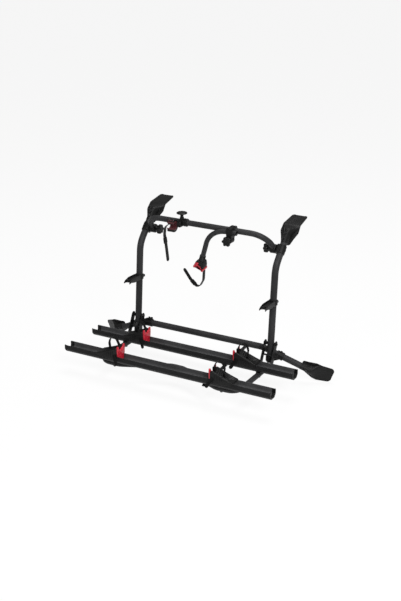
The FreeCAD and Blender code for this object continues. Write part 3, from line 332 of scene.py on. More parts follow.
def bracket_ring(tube_r, stations, fold, fold_angle, lip, tip_half, corner, low_round, cols=64, rows=120):
    """Rings of a bracket in its tube's frame (x across, y along the tube, z away from the door).
    The middle line is straight, then an arc, then straight again; the half width follows the
    stations and rounds off at both ends. The front stands off the middle line by half the sheet,
    plus a hump sqrt(1 - (x / w)^2.4) over the tube that widens and dies away above its end, plus
    a rolled rim and two pressed beads; the back is half the sheet behind it."""
    low, hood_r, bend_r, half_sheet = stations[0][0], tube_r + 3.2, 6.5, 1.5
    fold_angle = radians(fold_angle)
    straight, arc = fold - low, bend_r * fold_angle
    length = straight + arc + lip
    s = np.unique(np.concatenate([np.linspace(0, length, rows), np.linspace(straight, straight + arc, 8),
                                  np.array([0, 0.4, 1.2, 3, 6]), length - np.array([0, 0.3, 1.2, 3, 6, 9])]))
    turn = np.clip((s - straight) / bend_r, 0, fold_angle)
    before, beyond = np.minimum(s, straight), np.maximum(s - straight - arc, 0)
    y = low + before + bend_r * np.sin(turn) + beyond * cos(fold_angle)
    z = -tube_r - half_sheet - bend_r * (1 - np.cos(turn)) - beyond * sin(fold_angle)
    normal = np.stack([np.zeros_like(s), np.sin(turn), np.cos(turn)], 1)
    known_s = [h[0] - low for h in stations] + [straight + arc, length]
    half = np.interp(s, known_s, [h[1] for h in stations] + [stations[-1][1], tip_half])
    half = np.convolve(np.pad(half, 4, "edge"), np.ones(9) / 9, "valid")
    for end, r in ((s, low_round), (length - s, corner)):
        half = half - np.where(end < r, r - np.sqrt(np.maximum(r * r - (r - end) ** 2, 0)), 0)
    t = np.sin(np.linspace(-pi / 2, pi / 2, cols))
    x = half[:, None] * t
    spread = smooth((s - straight * 0.45) / (straight * 0.55))[:, None]
    hump_w = hood_r + (half[:, None] * 0.96 - hood_r) * spread
    hump_h = (tube_r + hood_r) * (1 - smooth((s - (-low + 4)) / (fold + 2)))[:, None]
    hump = hump_h * np.sqrt(np.clip(1 - (np.abs(x) / np.maximum(hump_w, 1)) ** 2.4, 0, 1))
    inset = half[:, None] * (1 - np.abs(t))
    rim = 1.6 * np.exp(-(inset / 2.6) ** 2)
    on_lip = (smooth((s - straight - arc - 6) / 16) * smooth((length - 16 - s) / 14))[:, None]
    beads = 1.5 * on_lip * (np.exp(-((np.abs(x) - half[:, None] * 0.45) / 4.2) ** 2))
    base = np.stack([np.zeros_like(s), y, z], 1)[:, None] + x[..., None] * ACROSS
    front = base + (half_sheet + np.maximum(hump, rim + beads))[..., None] * normal[:, None]
    back = base - half_sheet * normal[:, None] * np.ones_like(t)[None, :, None]
    return np.concatenate([front, back[:, ::-1]], axis=1)


def stand(points, origin, right, up):
    """Points of a local frame (x along right, y along up, z square to both) set in place."""
    right = unit(right)
    out = unit(np.cross(right, up))
    return origin + points @ np.stack([right, np.cross(out, right), out])


def placed(parts, origin, right, up):
    """Parts of a local frame set in place."""
    return [(stand(points, np.asarray(origin, float), right, up), faces) for points, faces in parts]


def rounded(corners, step=2.0):
    """Closed outline through (x, y, radius) corners, each radius drawn as an arc of short steps."""
    count, made = len(corners), []
    for i, corner in enumerate(corners):
        p = np.array(corner[:2], float)
        r = corner[2] if len(corner) > 2 else 0.0
        if r <= 0:
            made.append(p[None])
            continue
        a = unit(np.array(corners[i - 1][:2], float) - p)
        b = unit(np.array(corners[(i + 1) % count][:2], float) - p)
        half = np.arccos(np.clip(a @ b, -1, 1)) / 2
        centre = p + unit(a + b) * r / sin(half)
        start, stop = p + a * r / tan(half) - centre, p + b * r / tan(half) - centre
        turn = atan2(start[0] * stop[1] - start[1] * stop[0], start @ stop)
        angle = np.linspace(0, turn, max(4, int(abs(turn) * r / step) + 2))
        base = atan2(start[1], start[0])
        made.append(centre + r * np.stack([np.cos(base + angle), np.sin(base + angle)], 1))
    ring = np.concatenate(made)
    return ring[np.linalg.norm(ring - np.roll(ring, 1, 0), axis=1) > 1e-4]


def oblong(x0, y0, x1, y1, radius=0.0, step=2.0):
    """Outline of a rectangle between two of its corners, all four rounded alike."""
    return rounded([(x0, y0, radius), (x1, y0, radius), (x1, y1, radius), (x0, y1, radius)], step)


def inward(ring, distance):
    """An outline drawn in by a distance: each point moves along the mean of its sides' normals."""
    before, after = unit(ring - np.roll(ring, 1, 0)), unit(np.roll(ring, -1, 0) - ring)
    normal = np.stack([-(before + after)[:, 1], (before + after)[:, 0]], 1)
    area = np.sum(ring[:, 0] * np.roll(ring[:, 1], -1) - ring[:, 1] * np.roll(ring[:, 0], -1))
    size = np.maximum(np.sum(normal * normal, 1, keepdims=True), 0.6)
    return ring + np.sign(area) * distance * 2 * normal / size


def slab(ring, low, high, edge=0.8):
    """Plate of an outline from z = low to high whose edges are quarter rounds."""
    a = np.linspace(0, pi / 2, 4)
    layers = [(edge * (1 - sin(v)), low + edge * (1 - cos(v))) for v in a]
    layers += [(edge * (1 - sin(v)), high - edge * (1 - cos(v))) for v in a[::-1]]
    return skin(np.stack([np.column_stack([inward(ring, d), np.full(len(ring), z)]) for d, z in layers]))


def bolt(at, way, length, shank, nut=True):
    """Hexagon bolt with a washer under its chamfered head, and a nut past its far end."""
    way, across = unit(way), shank * 0.82
    parts = [turned([(-5.2, 0), (-5.2, across * 0.8), (-4.4, across), (-1.2, across), (-1.2, 0)], at, way, 6),
             turned([(-1.2, 0), (-1.2, across * 1.16), (-0.4, across * 1.24), (0, across * 1.24), (0, 0)],
                    at, way, 24)]
    if nut:
        far = at + way * length
        parts.append(turned([(0, 0), (0, across * 1.2), (1.1, across * 1.2), (1.1, 0)], far, way, 24))
        parts.append(turned([(1.1, 0), (1.1, across), (4.6, across), (5.2, across * 0.86), (5.2, shank * 0.5),
                             (6.4, shank * 0.5), (6.9, shank * 0.4), (6.9, 0)], far, way, 6))
    return parts


def dark_steel():
    """Black zinc plating: smoky, slightly blotched metal, paler where tools touched it."""
    made, shader, at = material("black zinc steel", "dark_steel")
    blotch, marks = at.noise(90, 4), at.noise(420, 3, 0.7)
    into(shader, Base_Color=blotch.between(0.3, 0.75).blend((0.018, 0.018, 0.019), (0.05, 0.05, 0.052)),
         Roughness=0.32 + marks.between(0.3, 0.7) * 0.16, Metallic=0.82 + blotch * 0.18, height=marks * 0.05)
    return made


STEEL = dark_steel()
RUBBER = moulded("matt black rubber", "black_rubber", 0.006, 0.010, 0.66, 900.0, Specular_IOR_Level=0.25)


def sole(fold_half, tip_half, lip, corner, flange):
    """Ribbed rubber sheet under a lip: rows run along it, and every rib is a raised cosine."""
    long, r = lip - 12, corner * 0.5
    s = np.linspace(0, long, 150)
    half = np.interp(s, [0, long], [fold_half - 6, tip_half - 6])
    for end in (s, long - s):
        half = half - np.where(end < r, r - np.sqrt(np.maximum(r ** 2 - (r - end) ** 2, 0)), 0)
    x = half[:, None] * np.linspace(-1, 1, 24)
    under = -2.0 + 0.8 * (0.5 + 0.5 * np.cos(s * 2 * pi / 6))[:, None] * np.ones_like(x)
    y = (s + 6)[:, None] * np.ones_like(x)
    low, high = np.stack([x, y, under], -1), np.stack([x, y, np.zeros_like(x)], -1)
    return placed([skin(np.concatenate([low, high[:, ::-1]], axis=1))], *flange)


HOOK_FOLD, HOOK_ANGLE = 58.0, 36.7
hook_rings = bracket_ring(UPRIGHT_R, [(-66, 25), (-22, 39), (14, 54), (HOOK_FOLD, 51)], HOOK_FOLD, HOOK_ANGLE,
                          109.6, 45.0, 14.0, 9.0)
hook_place = (tube_top, ACROSS, UPPER_WAY)
hook = skin(stand(hook_rings, *hook_place))


def lip_frame(place, tube_r, fold, fold_angle):
    """Frame of a bracket's lip: its root on the fold and the directions across and along it."""
    a, bend_r, sheet = radians(fold_angle), 5.0, 3.0
    root = np.array([0, fold + bend_r * sin(a), -tube_r - sheet - bend_r + bend_r * cos(a)])
    here = stand(np.array([root, root + np.array([0, cos(a), -sin(a)])]), *place)
    return here[0], place[1], here[1] - here[0]


hook_sole = sole(51, 45, 110, 14, lip_frame(hook_place, UPRIGHT_R, HOOK_FOLD, HOOK_ANGLE))
hook_out = np.cross(ACROSS, UPPER_WAY)
hardware = []
for drop in (44, 14):
    hardware += bolt(tube_top - UPPER_WAY * drop + hook_out * 22.4, -hook_out, 44.6, 8)
for rise, lift in ((16, 3.5), (44, 0.0)):
    screw_at = tube_top + UPPER_WAY * rise - 27 * ACROSS - hook_out * (UPRIGHT_R - lift)
    hardware += bolt(screw_at, -hook_out, 3.0 + lift, 8)

CROSS_R, FOOT_FOLD, FOOT_ANGLE = 18.0, 53.0, 25.0
arm_end = np.array([628.0, 216.9, -79.3])
arm_knee = np.array([365.0, 171.0, 20.0])
arm_way = unit(arm_end - arm_knee)
foot_place = (arm_end, unit(np.cross(TO_DOOR, arm_way)), arm_way)
foot_rings = bracket_ring(CROSS_R, [(-50, 26), (-20, 33), (28, 48), (FOOT_FOLD, 48)], FOOT_FOLD, FOOT_ANGLE,
                          80.6, 42.0, 20.0, 8.0)
foot = skin(stand(foot_rings, *foot_place))
foot_sole = sole(48, 43, 82, 12, lip_frame(foot_place, CROSS_R, FOOT_FOLD, FOOT_ANGLE))
foot_out = unit(np.cross(foot_place[1], arm_way))
for drop in (36, 12):
    hardware += bolt(arm_end - arm_way * drop + foot_out * 21.2, -foot_out, 42.2, 8)
PRESSED = moulded("black pressed bracket coat", "anthracite_paint", 0.006, 0.010, 0.42, 700.0,
                  Specular_IOR_Level=0.15)
for side, (plate, shoe) in sides([hook, foot]):
    piece(f"door_hook_{side}", "door_frame", PRESSED, [plate], f"top_bracket_{side}", sharp=40)
    piece(f"foot_shoe_{side}", "door_frame", PRESSED, [shoe], f"foot_bracket_{side}", sharp=40)
piece("hook_soles", "door_frame", RUBBER, both(hook_sole), "hook_pads")
piece("foot_soles", "door_frame", RUBBER, both(foot_sole), "foot_pads")
piece("bracket_bolts_hex", "door_frame", STEEL, both(hardware), "bracket_bolts", sharp=28)

# The lower cross tube and the left arm
# One long tube runs across behind the platform and on into the right arm; the left arm is a
# second tube that slides into the coupling, which sets the carrier to the door's width.
CROSS_Y, CROSS_Z = 171.0, 20.0
COUPLING_X, COUPLING_LONG = -402.0, 50.0
meet = COUPLING_X + 24
left_end, left_way = arm_end * MIRROR, arm_way * MIRROR
left_knee = np.array([-414.0, CROSS_Y, CROSS_Z])
left_meet = left_end - left_way * 84
arm_side = unit(np.cross(ACROSS, arm_way))
piece("cross_tube_and_right_arm", "door_frame", COAT,
      [pipe([[meet, CROSS_Y, CROSS_Z], arm_knee, arm_end], [95], CROSS_R, arm_side)], "lower_cross_tube")
left_path = [[meet - 0.2, CROSS_Y, CROSS_Z], left_knee, left_meet, left_end]
piece("left_arm", "door_frame", COAT, [pipe(left_path, [45, 95], CROSS_R, UP)], "left_arm_tube")

# The coupling on the left and the two foot clamps
# Glass-filled nylon mouldings. The coupling is a split sleeve with two bolted ears; each foot
# clamp is a sleeve on the arm and a collar round the upright's foot, tied by a ribbed web.


def hollow(profile, origin, axis, count):
    """Turned part with a bore: its profile is a closed loop, so the last ring joins the first."""
    points, faces = turned(profile, origin, axis, count)
    last = (len(profile) - 1) * count
    faces[-2:] = [[i, (i + 1) % count, last + (i + 1) % count, last + i] for i in range(count)]
    return points, faces


def sleeve(a, b, bore, wall, beads=True):
    """Moulded sleeve from a to b: turned wall with rounded shoulders and a raised bead near each
    end, run back through the bore so that both ends are closed rings."""
    a, b = np.asarray(a, float), np.asarray(b, float)
    long, r = np.linalg.norm(b - a), bore + wall
    outside = [(0, r - 1.6), (0.4, r - 0.7), (1.2, r - 0.2), (2.2, r)]
    if beads:
        outside += [(4.5, r), (5.2, r + 1.0), (8.2, r + 1.0), (8.9, r)]
        outside += [(long - h, q) for h, q in outside[:3:-1]]
    outside += [(long - 2.2, r), (long - 1.2, r - 0.2), (long - 0.4, r - 0.7), (long, r - 1.6)]
    return hollow(outside + [(long, bore), (0, bore)], a, b - a, 40)


def set_slab(ring, low, high, origin, right, up, edge=1.0):
    """A slab whose outline lies in the plane of right and up."""
    return placed([slab(ring, low, high, edge)], origin, right, up)[0]


coupling_at = np.array([COUPLING_X, CROSS_Y, CROSS_Z])
coupling = [sleeve(coupling_at, coupling_at + COUPLING_LONG * ACROSS, CROSS_R, 4.0)]
ear_outline = rounded([(12, 19, 1), (46, 19, 1), (46, 33, 4), (38, 33, 8), (14, 25, 3)])
for low in (-9.0, 1.6):
    coupling.append(set_slab(ear_outline, low, low + 7.4, coupling_at, ACROSS, UP))
for dx, top in ((16.5, 24), (29.0, 28), (42.0, 31)):
    rib = rounded([(dx - 1.2, 16), (dx + 1.2, 16), (dx + 1.2, top, 1), (dx - 1.2, top, 1)])
    coupling.append(set_slab(rib, -10.4, 10.4, coupling_at, ACROSS, UP, 0.5))
piece("arm_coupling_sleeve", "door_frame", PLASTIC, coupling, "arm_coupling")
clamp_bolts = []
for dx in (20.0, 38.0):
    clamp_bolts += bolt(coupling_at + [dx, -9.2, CROSS_R + 8], TO_DOOR, 18.4, 6.0)
LOW_Z, HIGH_Z, GRIP_FROM, GRIP_TO = -34.0, -6.0, 444.0, 484.0


def foot_clamp(start, way, side):
    """Foot clamp of one side and its set screw; start and way give the arm's axis."""
    step = way / abs(way[0])
    a, b = (start + step * (x - abs(start[0])) for x in (GRIP_FROM, GRIP_TO))
    low, high = (on_upright(z) * [side, 1, 1] for z in (LOW_Z, HIGH_Z))
    middle = (a + b) / 2
    parts = [sleeve(a, b, CROSS_R, 5.0), sleeve(low, high, UPRIGHT_R, 5.0, False)]
    along = (middle - low) * [1, 1, 0]
    reach = np.hypot(along[0], along[1])
    web = rounded([(12, -10, 3), (reach - 8, -14, 5), (reach + 4, -11, 3), (reach + 4, 11, 3),
                   (reach - 8, 14, 5), (12, 10, 3)])
    rib = rounded([(10, -12, 3), (reach + 6, -16, 6), (reach + 6, 16, 6), (10, 12, 3)])
    foot_frame = low * [1, 1, 0], along, np.array([-along[1], along[0], 0])
    parts.append(set_slab(web, LOW_Z, HIGH_Z, *foot_frame, 2.0))
    for z in (-34.6, -20.0, -8.0):
        parts.append(set_slab(rib, z, z + 2.6, *foot_frame, 0.8))
    cross = unit(np.cross(way, TO_DOOR)) * side
    return parts, bolt(middle + cross * (CROSS_R + 5.2), -cross, 20, 8, nut=False)


for side, axis in (("right", (arm_knee, arm_way, 1)), ("left", (left_knee, unit(left_meet - left_knee), -1))):
    clamp, screw = foot_clamp(*axis)
    piece(f"foot_clamp_body_{side}", "door_frame", PLASTIC, clamp, f"foot_clamp_{side}")
    clamp_bolts += screw

# The upper bar and the pivots it tilts on
# A 32 mm tube bowed down at both ends into moulded end blocks. Each block hangs on a stud through
# a two-piece clamp round the upright, and a star knob on its inner side locks the tilt.
BAR_X, BAR_R, BLOCK_HALF, SEAT_GAP = 382.0, 16.0, 17.5, 0.4
pivot = knee + 108 * UPPER_WAY
bar_y, bar_z = pivot[1] - 84, pivot[2] + 95
block_mid = np.array([BAR_X, pivot[1], pivot[2]])
bar_corner = np.array([BAR_X, bar_y, bar_z])
leg = block_mid - bar_corner
leg_way = unit(leg)
leg_end = block_mid - leg_way * 9
bar_path = [leg_end * MIRROR, bar_corner * MIRROR, bar_corner, leg_end]
piece("upper_bar_tube", "upper_bar", COAT,
      [pipe(bar_path, [100, 100], BAR_R, unit(np.cross(ACROSS, leg_way)), 40)], "crossbar")
boss = [(-BLOCK_HALF, 0), (-BLOCK_HALF, 21), (-16.9, 23.2), (-15.3, 24.6), (-13, 25), (-4, 25), (-3.4, 24.2)]
boss += [(-h, r) for h, r in boss[::-1]]
end_block = [turned(boss, block_mid, ACROSS, 48),
             sleeve(leg_end - leg_way * 13, leg_end + leg_way * 3, BAR_R, 2.4, False)]
rib = rounded([(-14, 22), (14, 22), (14, 26, 1), (-14, 26, 1)])
for turn in np.radians([40, 80, 120, 160, 200]):
    end_block.append(set_slab(rib, -1.0, 1.0, block_mid, ACROSS, np.array([0, cos(turn), sin(turn)]), 0.5))
piece("bar_end_blocks_moulded", "upper_bar", PLASTIC, both(end_block), "bar_end_blocks")


def half_clamp(inner_x, bore, height, depth, sign, round_off):
    """Half of a tube clamp, as rings along the tube: each ring is a rounded half block outside and
    a half circle inside, drawn in towards both ends."""
    along = np.concatenate([[-height, -height + 0.6, -height + 2], np.linspace(-height + 4, height - 4, 9),
                            [height - 2, height - 0.6, height]])
    a = np.linspace(-pi / 2, pi / 2, 36)
    shrink = np.interp(np.abs(along), [height - 3, height - 0.6, height], [0, 0.8, 2.0])
    lobe = (np.abs(np.cos(a)) ** round_off + np.abs(np.sin(a)) ** round_off) ** (-1 / round_off)
    hole = np.stack([np.maximum(bore * np.cos(a[::-1]), 1.0), bore * np.sin(a[::-1])], 1)
    rings = []
    for y, less in zip(along, shrink):
        out = [np.maximum(lobe * np.cos(a) * (inner_x - less), 1.0), lobe * np.sin(a) * (depth - less)]
        section = np.concatenate([np.stack(out, 1), hole])
        rings.append(np.column_stack([sign * section[:, 0], np.full(len(section), y), section[:, 1]]))
    return skin(np.array(rings))


inner_x = UPRIGHT_X - (BAR_X + BLOCK_HALF + SEAT_GAP)
halves = [half_clamp(inner_x, UPRIGHT_R, 25, 24, -1, 4.0), half_clamp(22.5, UPRIGHT_R, 25, 24, 1, 2.0)]
inner_half, outer_half = placed(halves, pivot, ACROSS, UPPER_WAY)
cap = turned([(-1, 0), (-1, 7), (0.8, 7), (1.5, 6), (1.5, 0)], pivot + 22.4 * ACROSS, ACROSS, 32)
piece("tilt_clamp_inner", "door_frame", PLASTIC, both([inner_half]), "clamp_inner_halves")
piece("tilt_clamp_outer", "door_frame", PLASTIC, both([outer_half, cap]), "clamp_outer_halves")


def star_grip(radius, thick, lobes=6, cols=144, rows=26):
    """Star knob about z: the radius swells at the lobes, r = R (0.74 + 0.26 (1/2 + cos(n a) / 2)^0.7),
    and the height follows a pillow curve with a dished face."""
    a = np.linspace(0, 2 * pi, cols, endpoint=False)
    rim = radius * (0.74 + 0.26 * (0.5 + 0.5 * np.cos(lobes * a)) ** 0.7)
    v = np.linspace(0, pi, rows)
    shell_r = np.concatenate([[0, 0.25, 0.5, 0.68, 0.80], 0.86 + 0.14 * np.sin(v) ** 0.6,
                              [0.80, 0.66, 0.5, 0.25, 0]])
    shell_z = thick * np.concatenate([[0, 0, 0, 0, 0], 0.02 + 0.96 * (0.5 - 0.5 * np.cos(v)),
                                      [1, 0.99, 0.93, 0.90, 0.90]])
    x, y = (shell_r[:, None] * rim * f(a) for f in (np.cos, np.sin))
    return skin(np.stack([x, y, np.repeat(shell_z[:, None], cols, 1)], -1))


def star_knob(seat, way, side, radius, thick, neck):
    """Star grip on a turned neck, with a boss in its dish; way points from its seat to the grip."""
    top = neck + thick * 0.9
    neck_profile = [(0, 0), (0, 10), (1.2, 10.4), (neck * 0.5, 8.4), (neck - 1.5, 9.4), (neck + 1.5, 12),
                    (neck + 1.5, 0)]
    boss_profile = [(top - 0.5, 0), (top - 0.5, 7.4), (top + 1.2, 7.4), (top + 2.0, 6.4), (top + 2.0, 0)]
    return placed([star_grip(radius, thick)], seat + way * neck, side, np.cross(way, side)) + [
        turned(neck_profile, seat, way, 28), turned(boss_profile, seat, way, 28)]


knob_seat = np.array([BAR_X - BLOCK_HALF - SEAT_GAP, pivot[1], pivot[2]])
tilt_knob = star_knob(knob_seat, -ACROSS, TO_DOOR, 28, 24, 12)
tilt_stud = turned([(0, 0), (0, 4.9), (84, 4.9), (84.8, 4.3), (84.8, 0)], knob_seat, ACROSS, 24)
for side, knob, stud in sides(tilt_knob, [tilt_stud]):
    piece(f"tilt_knob_{side}", f"knob_{side}", PLASTIC, knob, f"clamp_knob_{side}", sharp=30)
    piece(f"tilt_stud_{side}", f"knob_{side}", STEEL, stud)

# The platform's hinges
# On each side two 3 mm plates carry the platform's arm on a bolt through the upright's foot, with
# a nylon bush each side of it, and a pin between the plates comes to rest against the upright.
HINGE = np.array([UPRIGHT_X, 135.0, 68.0])
FRAME_Z, FRAME_FRONT, FRAME_R = -62.0, -262.0, 15.0
hinge_foot = np.array([UPRIGHT_X, 72.0, FRAME_Z])
run = unit(hinge_foot - HINGE)
reach = np.linalg.norm(hinge_foot - HINGE)
PLATE_IN, PLATE_THICK, PLATE_ROUND = 31.0, 3.0, 18.0
link = oblong(-PLATE_ROUND, -PLATE_ROUND, reach + PLATE_ROUND, PLATE_ROUND, 17.9)
bolt_pad = [(-0.5, 0), (-0.5, 10.5), (0.8, 10), (1.1, 8.8), (1.1, 0)]
hinge_plates = []
for x, face, way in ((-PLATE_IN - PLATE_THICK, -PLATE_IN - PLATE_THICK, -ACROSS),
                     (PLATE_IN, PLATE_IN + PLATE_THICK, ACROSS)):
    hinge_plates.append(set_slab(link, 0, PLATE_THICK, HINGE + x * ACROSS, run, np.cross(ACROSS, run), 0.6))
    for at in (HINGE, hinge_foot):
        hinge_plates.append(turned(bolt_pad, at + face * ACROSS, way, 32))
hinge_bolt = bolt(HINGE - 35.2 * ACROSS, ACROSS, 70.4, 10)
bush_profile = [(-18.5, 5.2), (-18.5, 9), (-22, 9), (-23, 8.4), (-26.5, 8.4), (-27.2, 11), (-30.8, 11),
                (-30.8, 5.2)]
bushes = [turned(bush_profile, HINGE, ACROSS * sign, 32) for sign in (1, -1)]
PIN_Z, PIN_R, PIN_GAP, UPRIGHT_HALF = 8.0, 5.0, 0.3, 19.06
pin_y = on_upright(PIN_Z)[1] - UPRIGHT_HALF - PIN_R - PIN_GAP
pin_profile = [(-PLATE_IN, 0), (-PLATE_IN, 4.2), (-30.2, PIN_R), (30.2, PIN_R), (PLATE_IN, 4.2),
               (PLATE_IN, 0)]
stop_pin = turned(pin_profile, [UPRIGHT_X, pin_y, PIN_Z], ACROSS, 24)
for side, plates in sides(hinge_plates):
    piece(f"hinge_plates_pressed_{side}", "platform", PRESSED, plates, f"hinge_plates_{side}")
piece("hinge_bolts_hex", "door_frame", STEEL, both(hinge_bolt), "hinge_bolts", sharp=28)
piece("hinge_bushes_nylon", "door_frame", PLASTIC, both(bushes), "hinge_bushes")
piece("stop_pins_turned", "platform", STEEL, both([stop_pin]), "stop_pins")

# The platform frame
# One 30 mm tube from hinge to hinge: two arms run forward, the front run is bowed back in the
# middle, and a short 26 mm tube is welded across each arm's end between the hinge plates.
FRAME_BEND = 305.0
half_frame = np.array([hinge_foot, [UPRIGHT_X, FRAME_FRONT, FRAME_Z], [FRAME_BEND, FRAME_FRONT, FRAME_Z],
                       [35, -143, FRAME_Z]])
frame_path = [*half_frame, *half_frame[::-1] * MIRROR]
frame_tube = pipe(frame_path, [60, 80, 80, 80, 80, 60], FRAME_R, UP)
cross_profile = [(-PLATE_IN, 11), (-PLATE_IN, 12.4), (-30.4, 13), (30.4, 13), (PLATE_IN, 12.4),
                 (PLATE_IN, 11), (29, 11), (-29, 11)]
cross = turned(cross_profile, hinge_foot, ACROSS, 36)


def weld(centre, axis, radius, bead=1.9, count=96):
    """Weld bead: a torus whose thickness ripples with the pool, bead * (1 + 0.16 sin 34a)."""
    side = square_to(axis)
    a = np.linspace(0, 2 * pi, count, endpoint=False)[:, None, None]
    b = np.linspace(0, 2 * pi, 8, endpoint=False)[None, :, None]
    thick = bead * (1 + 0.16 * np.sin(34 * a))
    spoke = np.cos(a) * side + np.sin(a) * np.cross(axis, side)
    return skin(centre + (radius + thick * np.cos(b)) * spoke + thick * np.sin(b) * axis, closed=True)


frame_weld = weld(hinge_foot - 12.4 * TO_DOOR, TO_DOOR, FRAME_R)
piece("platform_tube", "platform", COAT, [frame_tube, *both([cross]), *both([frame_weld])], "platform_frame")

# The two wheel rails
# Black anodised aluminium extrusions, 1280 mm long: a rounded trough with fine ridges on its
# inner walls for grip, bolted to the frame on plastic saddles and closed by plastic end trims.
RAIL_HALF, RAIL_W, RAIL_DEEP = 640.0, 34.0, 44.0
RAIL_Y = {"front": -272.0, "rear": 0.0}


def trough(inset, top=0.0, step=1.6):
    """Open outline of the trough from one lip down round to the other, drawn in by an inset."""
    half, floor_half, floor = RAIL_W - inset, 18 - inset * 0.4, -RAIL_DEEP + inset
    wall_foot = -26 + inset * 0.4
    ring = rounded([(half, 60), (half, wall_foot, 14 - inset), (floor_half, floor, 12 - inset),
                    (-floor_half, floor, 12 - inset), (-half, wall_foot, 14 - inset), (-half, 60)], step)
    return np.concatenate([[[half, top]], ring[1:-1], [[-half, top]]])


def along_x(section, xs):
    """Rings of a (y, z) section at each x; the section may be a list with one entry for each x."""
    section = section if isinstance(section, list) else [section] * len(xs)
    return np.array([np.column_stack([np.full(len(s), x), s]) for x, s in zip(xs, section)])


def run_length(line):
    """How far along an open line each of its points lies."""
    return np.concatenate([[0], np.cumsum(np.linalg.norm(np.diff(line, axis=0), axis=1))])


def evenly(line, count):
    """An open line's points spaced evenly along it."""
    gone = run_length(line)
    where = np.linspace(0, gone[-1], count)
    return np.column_stack([np.interp(where, gone, line[:, k]) for k in range(line.shape[1])])


def rail_section(ridges=26):
    """Closed section of the rail: the trough outside with two shallow grooves in each wall, the
    trough inside with ridges, each a squared cosine, and rolled lips that join them."""
    outside = evenly(trough(0.0, -1.2), 150)
    inside = evenly(trough(2.5, -1.2)[::-1], 170)
    flat = unit(np.gradient(inside, axis=0))
    normal = np.stack([-flat[:, 1], flat[:, 0]], 1)
    run = np.linspace(0, 1, len(inside))
    ridge = 0.55 * np.maximum(np.cos(run * 2 * pi * ridges), 0) ** 2
    ridge = ridge * smooth(run / 0.06) * smooth((1 - run) / 0.06)
    inside = inside + normal * ridge[:, None] * np.sign(normal[len(run) // 2, 1])
    mark = 0.7 * sum(np.exp(-((outside[:, 1] - z) / 0.9) ** 2) for z in (-9.0, -18.0))
    outside = outside - np.sign(outside[:, :1]) * [1.0, 0.0] * mark[:, None]
    lip = np.array([[-33.4, -0.3], [-32.7, 0.0], [-32.1, -0.3]])
    return np.concatenate([outside, lip, inside, lip[::-1] * [-1, 1]])


def anodised():
    """Black anodised extrusion: drawn lines along its length and a soft satin sheen, with painted light
    inside the trough: faces there get a paler grey, as if lit from above. A face is inside where it
    looks up or towards its rail's middle line: the two lines lie half a pitch each side of the middle
    between them, and the sign of y from there picks the rail."""
    made, shader, at = material("black anodised rail", "rail_aluminium", Specular_IOR_Level=0.1)
    middle, half_pitch = RAIL_Y["front"] / 2 + RAIL_TO_HOOKS[1], -RAIL_Y["front"] / 2
    lines, mist = at.noise(60, 3, 0.6, (0.4, 14, 14)), at.noise(11, 4)
    looks = at.make("ShaderNodeSeparateXYZ", Vector=at.out("Normal"))
    beside = at.make("ShaderNodeSeparateXYZ", Vector=at).out("Y") - middle / 1000
    away = beside.maths("ABSOLUTE", 0.0) - half_pitch / 1000
    # painted light: faces that look up or into the trough are marked as inside, to be painted paler
    inside = looks.out("Z") * 0.02 - away * beside.maths("SIGN", 0.0) * looks.out("Y")
    outer = mist.between(0.3, 0.7).blend((0.011, 0.011, 0.0115), (0.016, 0.016, 0.0165))
    # painted light: the paler grey the trough's inside gets, as if lit from above, against the dark outer
    # faces
    painted_light_trough_grey = mist.between(0.3, 0.7).blend((0.060, 0.060, 0.062), (0.078, 0.078, 0.080))
    into(shader, Base_Color=inside.between(-0.004, 0.004).blend(outer, painted_light_trough_grey),
         Roughness=0.46 + lines.between(0.3, 0.7) * 0.12, Metallic=lines * 0.1, height=lines * 0.06)
    return made


RAIL_COAT = anodised()
TRIM_WALL = [(624, 2.8, 5.2), (625, 2.7, 5.7), (639.9, 2.7, 5.7), (RAIL_HALF, 0.4, 7.5), (640.6, 0.0, 8.6),
             (642.2, 0.0, 9.0), (643, 0.9, 8.4)]
sections = []
for x, outer, inner in TRIM_WALL:
    top = -0.2 if x >= RAIL_HALF else -1.4
    walls = trough(outer, top), trough(inner, top - 0.4)[::-1]
    sections.append(np.concatenate([evenly(wall, 64) for wall in walls]))
trim_rings = along_x(sections, [x for x, outer, inner in TRIM_WALL])
rail_ends = [RAIL_HALF - 0.1, RAIL_HALF - 0.6, 200]
rail_rings = along_x(rail_section(), [-x for x in rail_ends] + rail_ends[::-1])
trims, saddles, rail_bolts = [], [], []
for name, y in RAIL_Y.items():
    piece(f"wheel_rail_{name}", "platform", RAIL_COAT, [skin(rail_rings + [0, y, 0])], f"rail_{name}",
          sharp=40)
    trims += both([skin(trim_rings + [0, y, 0])])

front_rest = np.array([(FRAME_BEND + UPRIGHT_X - 60) / 2, FRAME_FRONT, 0])
arch = np.linspace(0.12, 0.88, 16) * pi
SADDLE_HALF, saddle_r = 14.0, FRAME_R + 0.1
cradle = np.column_stack([-saddle_r * np.cos(arch), FRAME_Z + saddle_r * np.sin(arch)])
cradle = np.concatenate([[(-SADDLE_HALF, -RAIL_DEEP), (-SADDLE_HALF, -52)],
                         cradle[np.abs(cradle[:, 0]) <= SADDLE_HALF + 0.01],
                         [(SADDLE_HALF, -52), (SADDLE_HALF, -RAIL_DEEP)]])
dome = [(-1, 0), (-1, 7.2), (1.2, 6.6), (2.8, 4.6), (3.2, 2.6), (2.0, 2.4), (2.0, 0)]
for rest, side in ((front_rest, TO_DOOR), (np.array([UPRIGHT_X, 0, 0]), ACROSS)):
    saddles.append(set_slab(cradle, -SADDLE_HALF, SADDLE_HALF, rest, side, UP, 0.9))
    rail_bolts.append(turned(dome, rest + [0, 0, -RAIL_DEEP + 2.5], UP, 28))
    rail_bolts += bolt(rest + [0, 0, FRAME_Z - FRAME_R], UP, 10, 8, nut=False)
piece("rail_end_trims", "platform", PLASTIC, trims, "rail_end_caps")
piece("rail_saddle_blocks", "platform", PLASTIC, both(saddles), "rail_saddles")
piece("rail_bolts_domed", "platform", STEEL, both(rail_bolts), "rail_bolts")

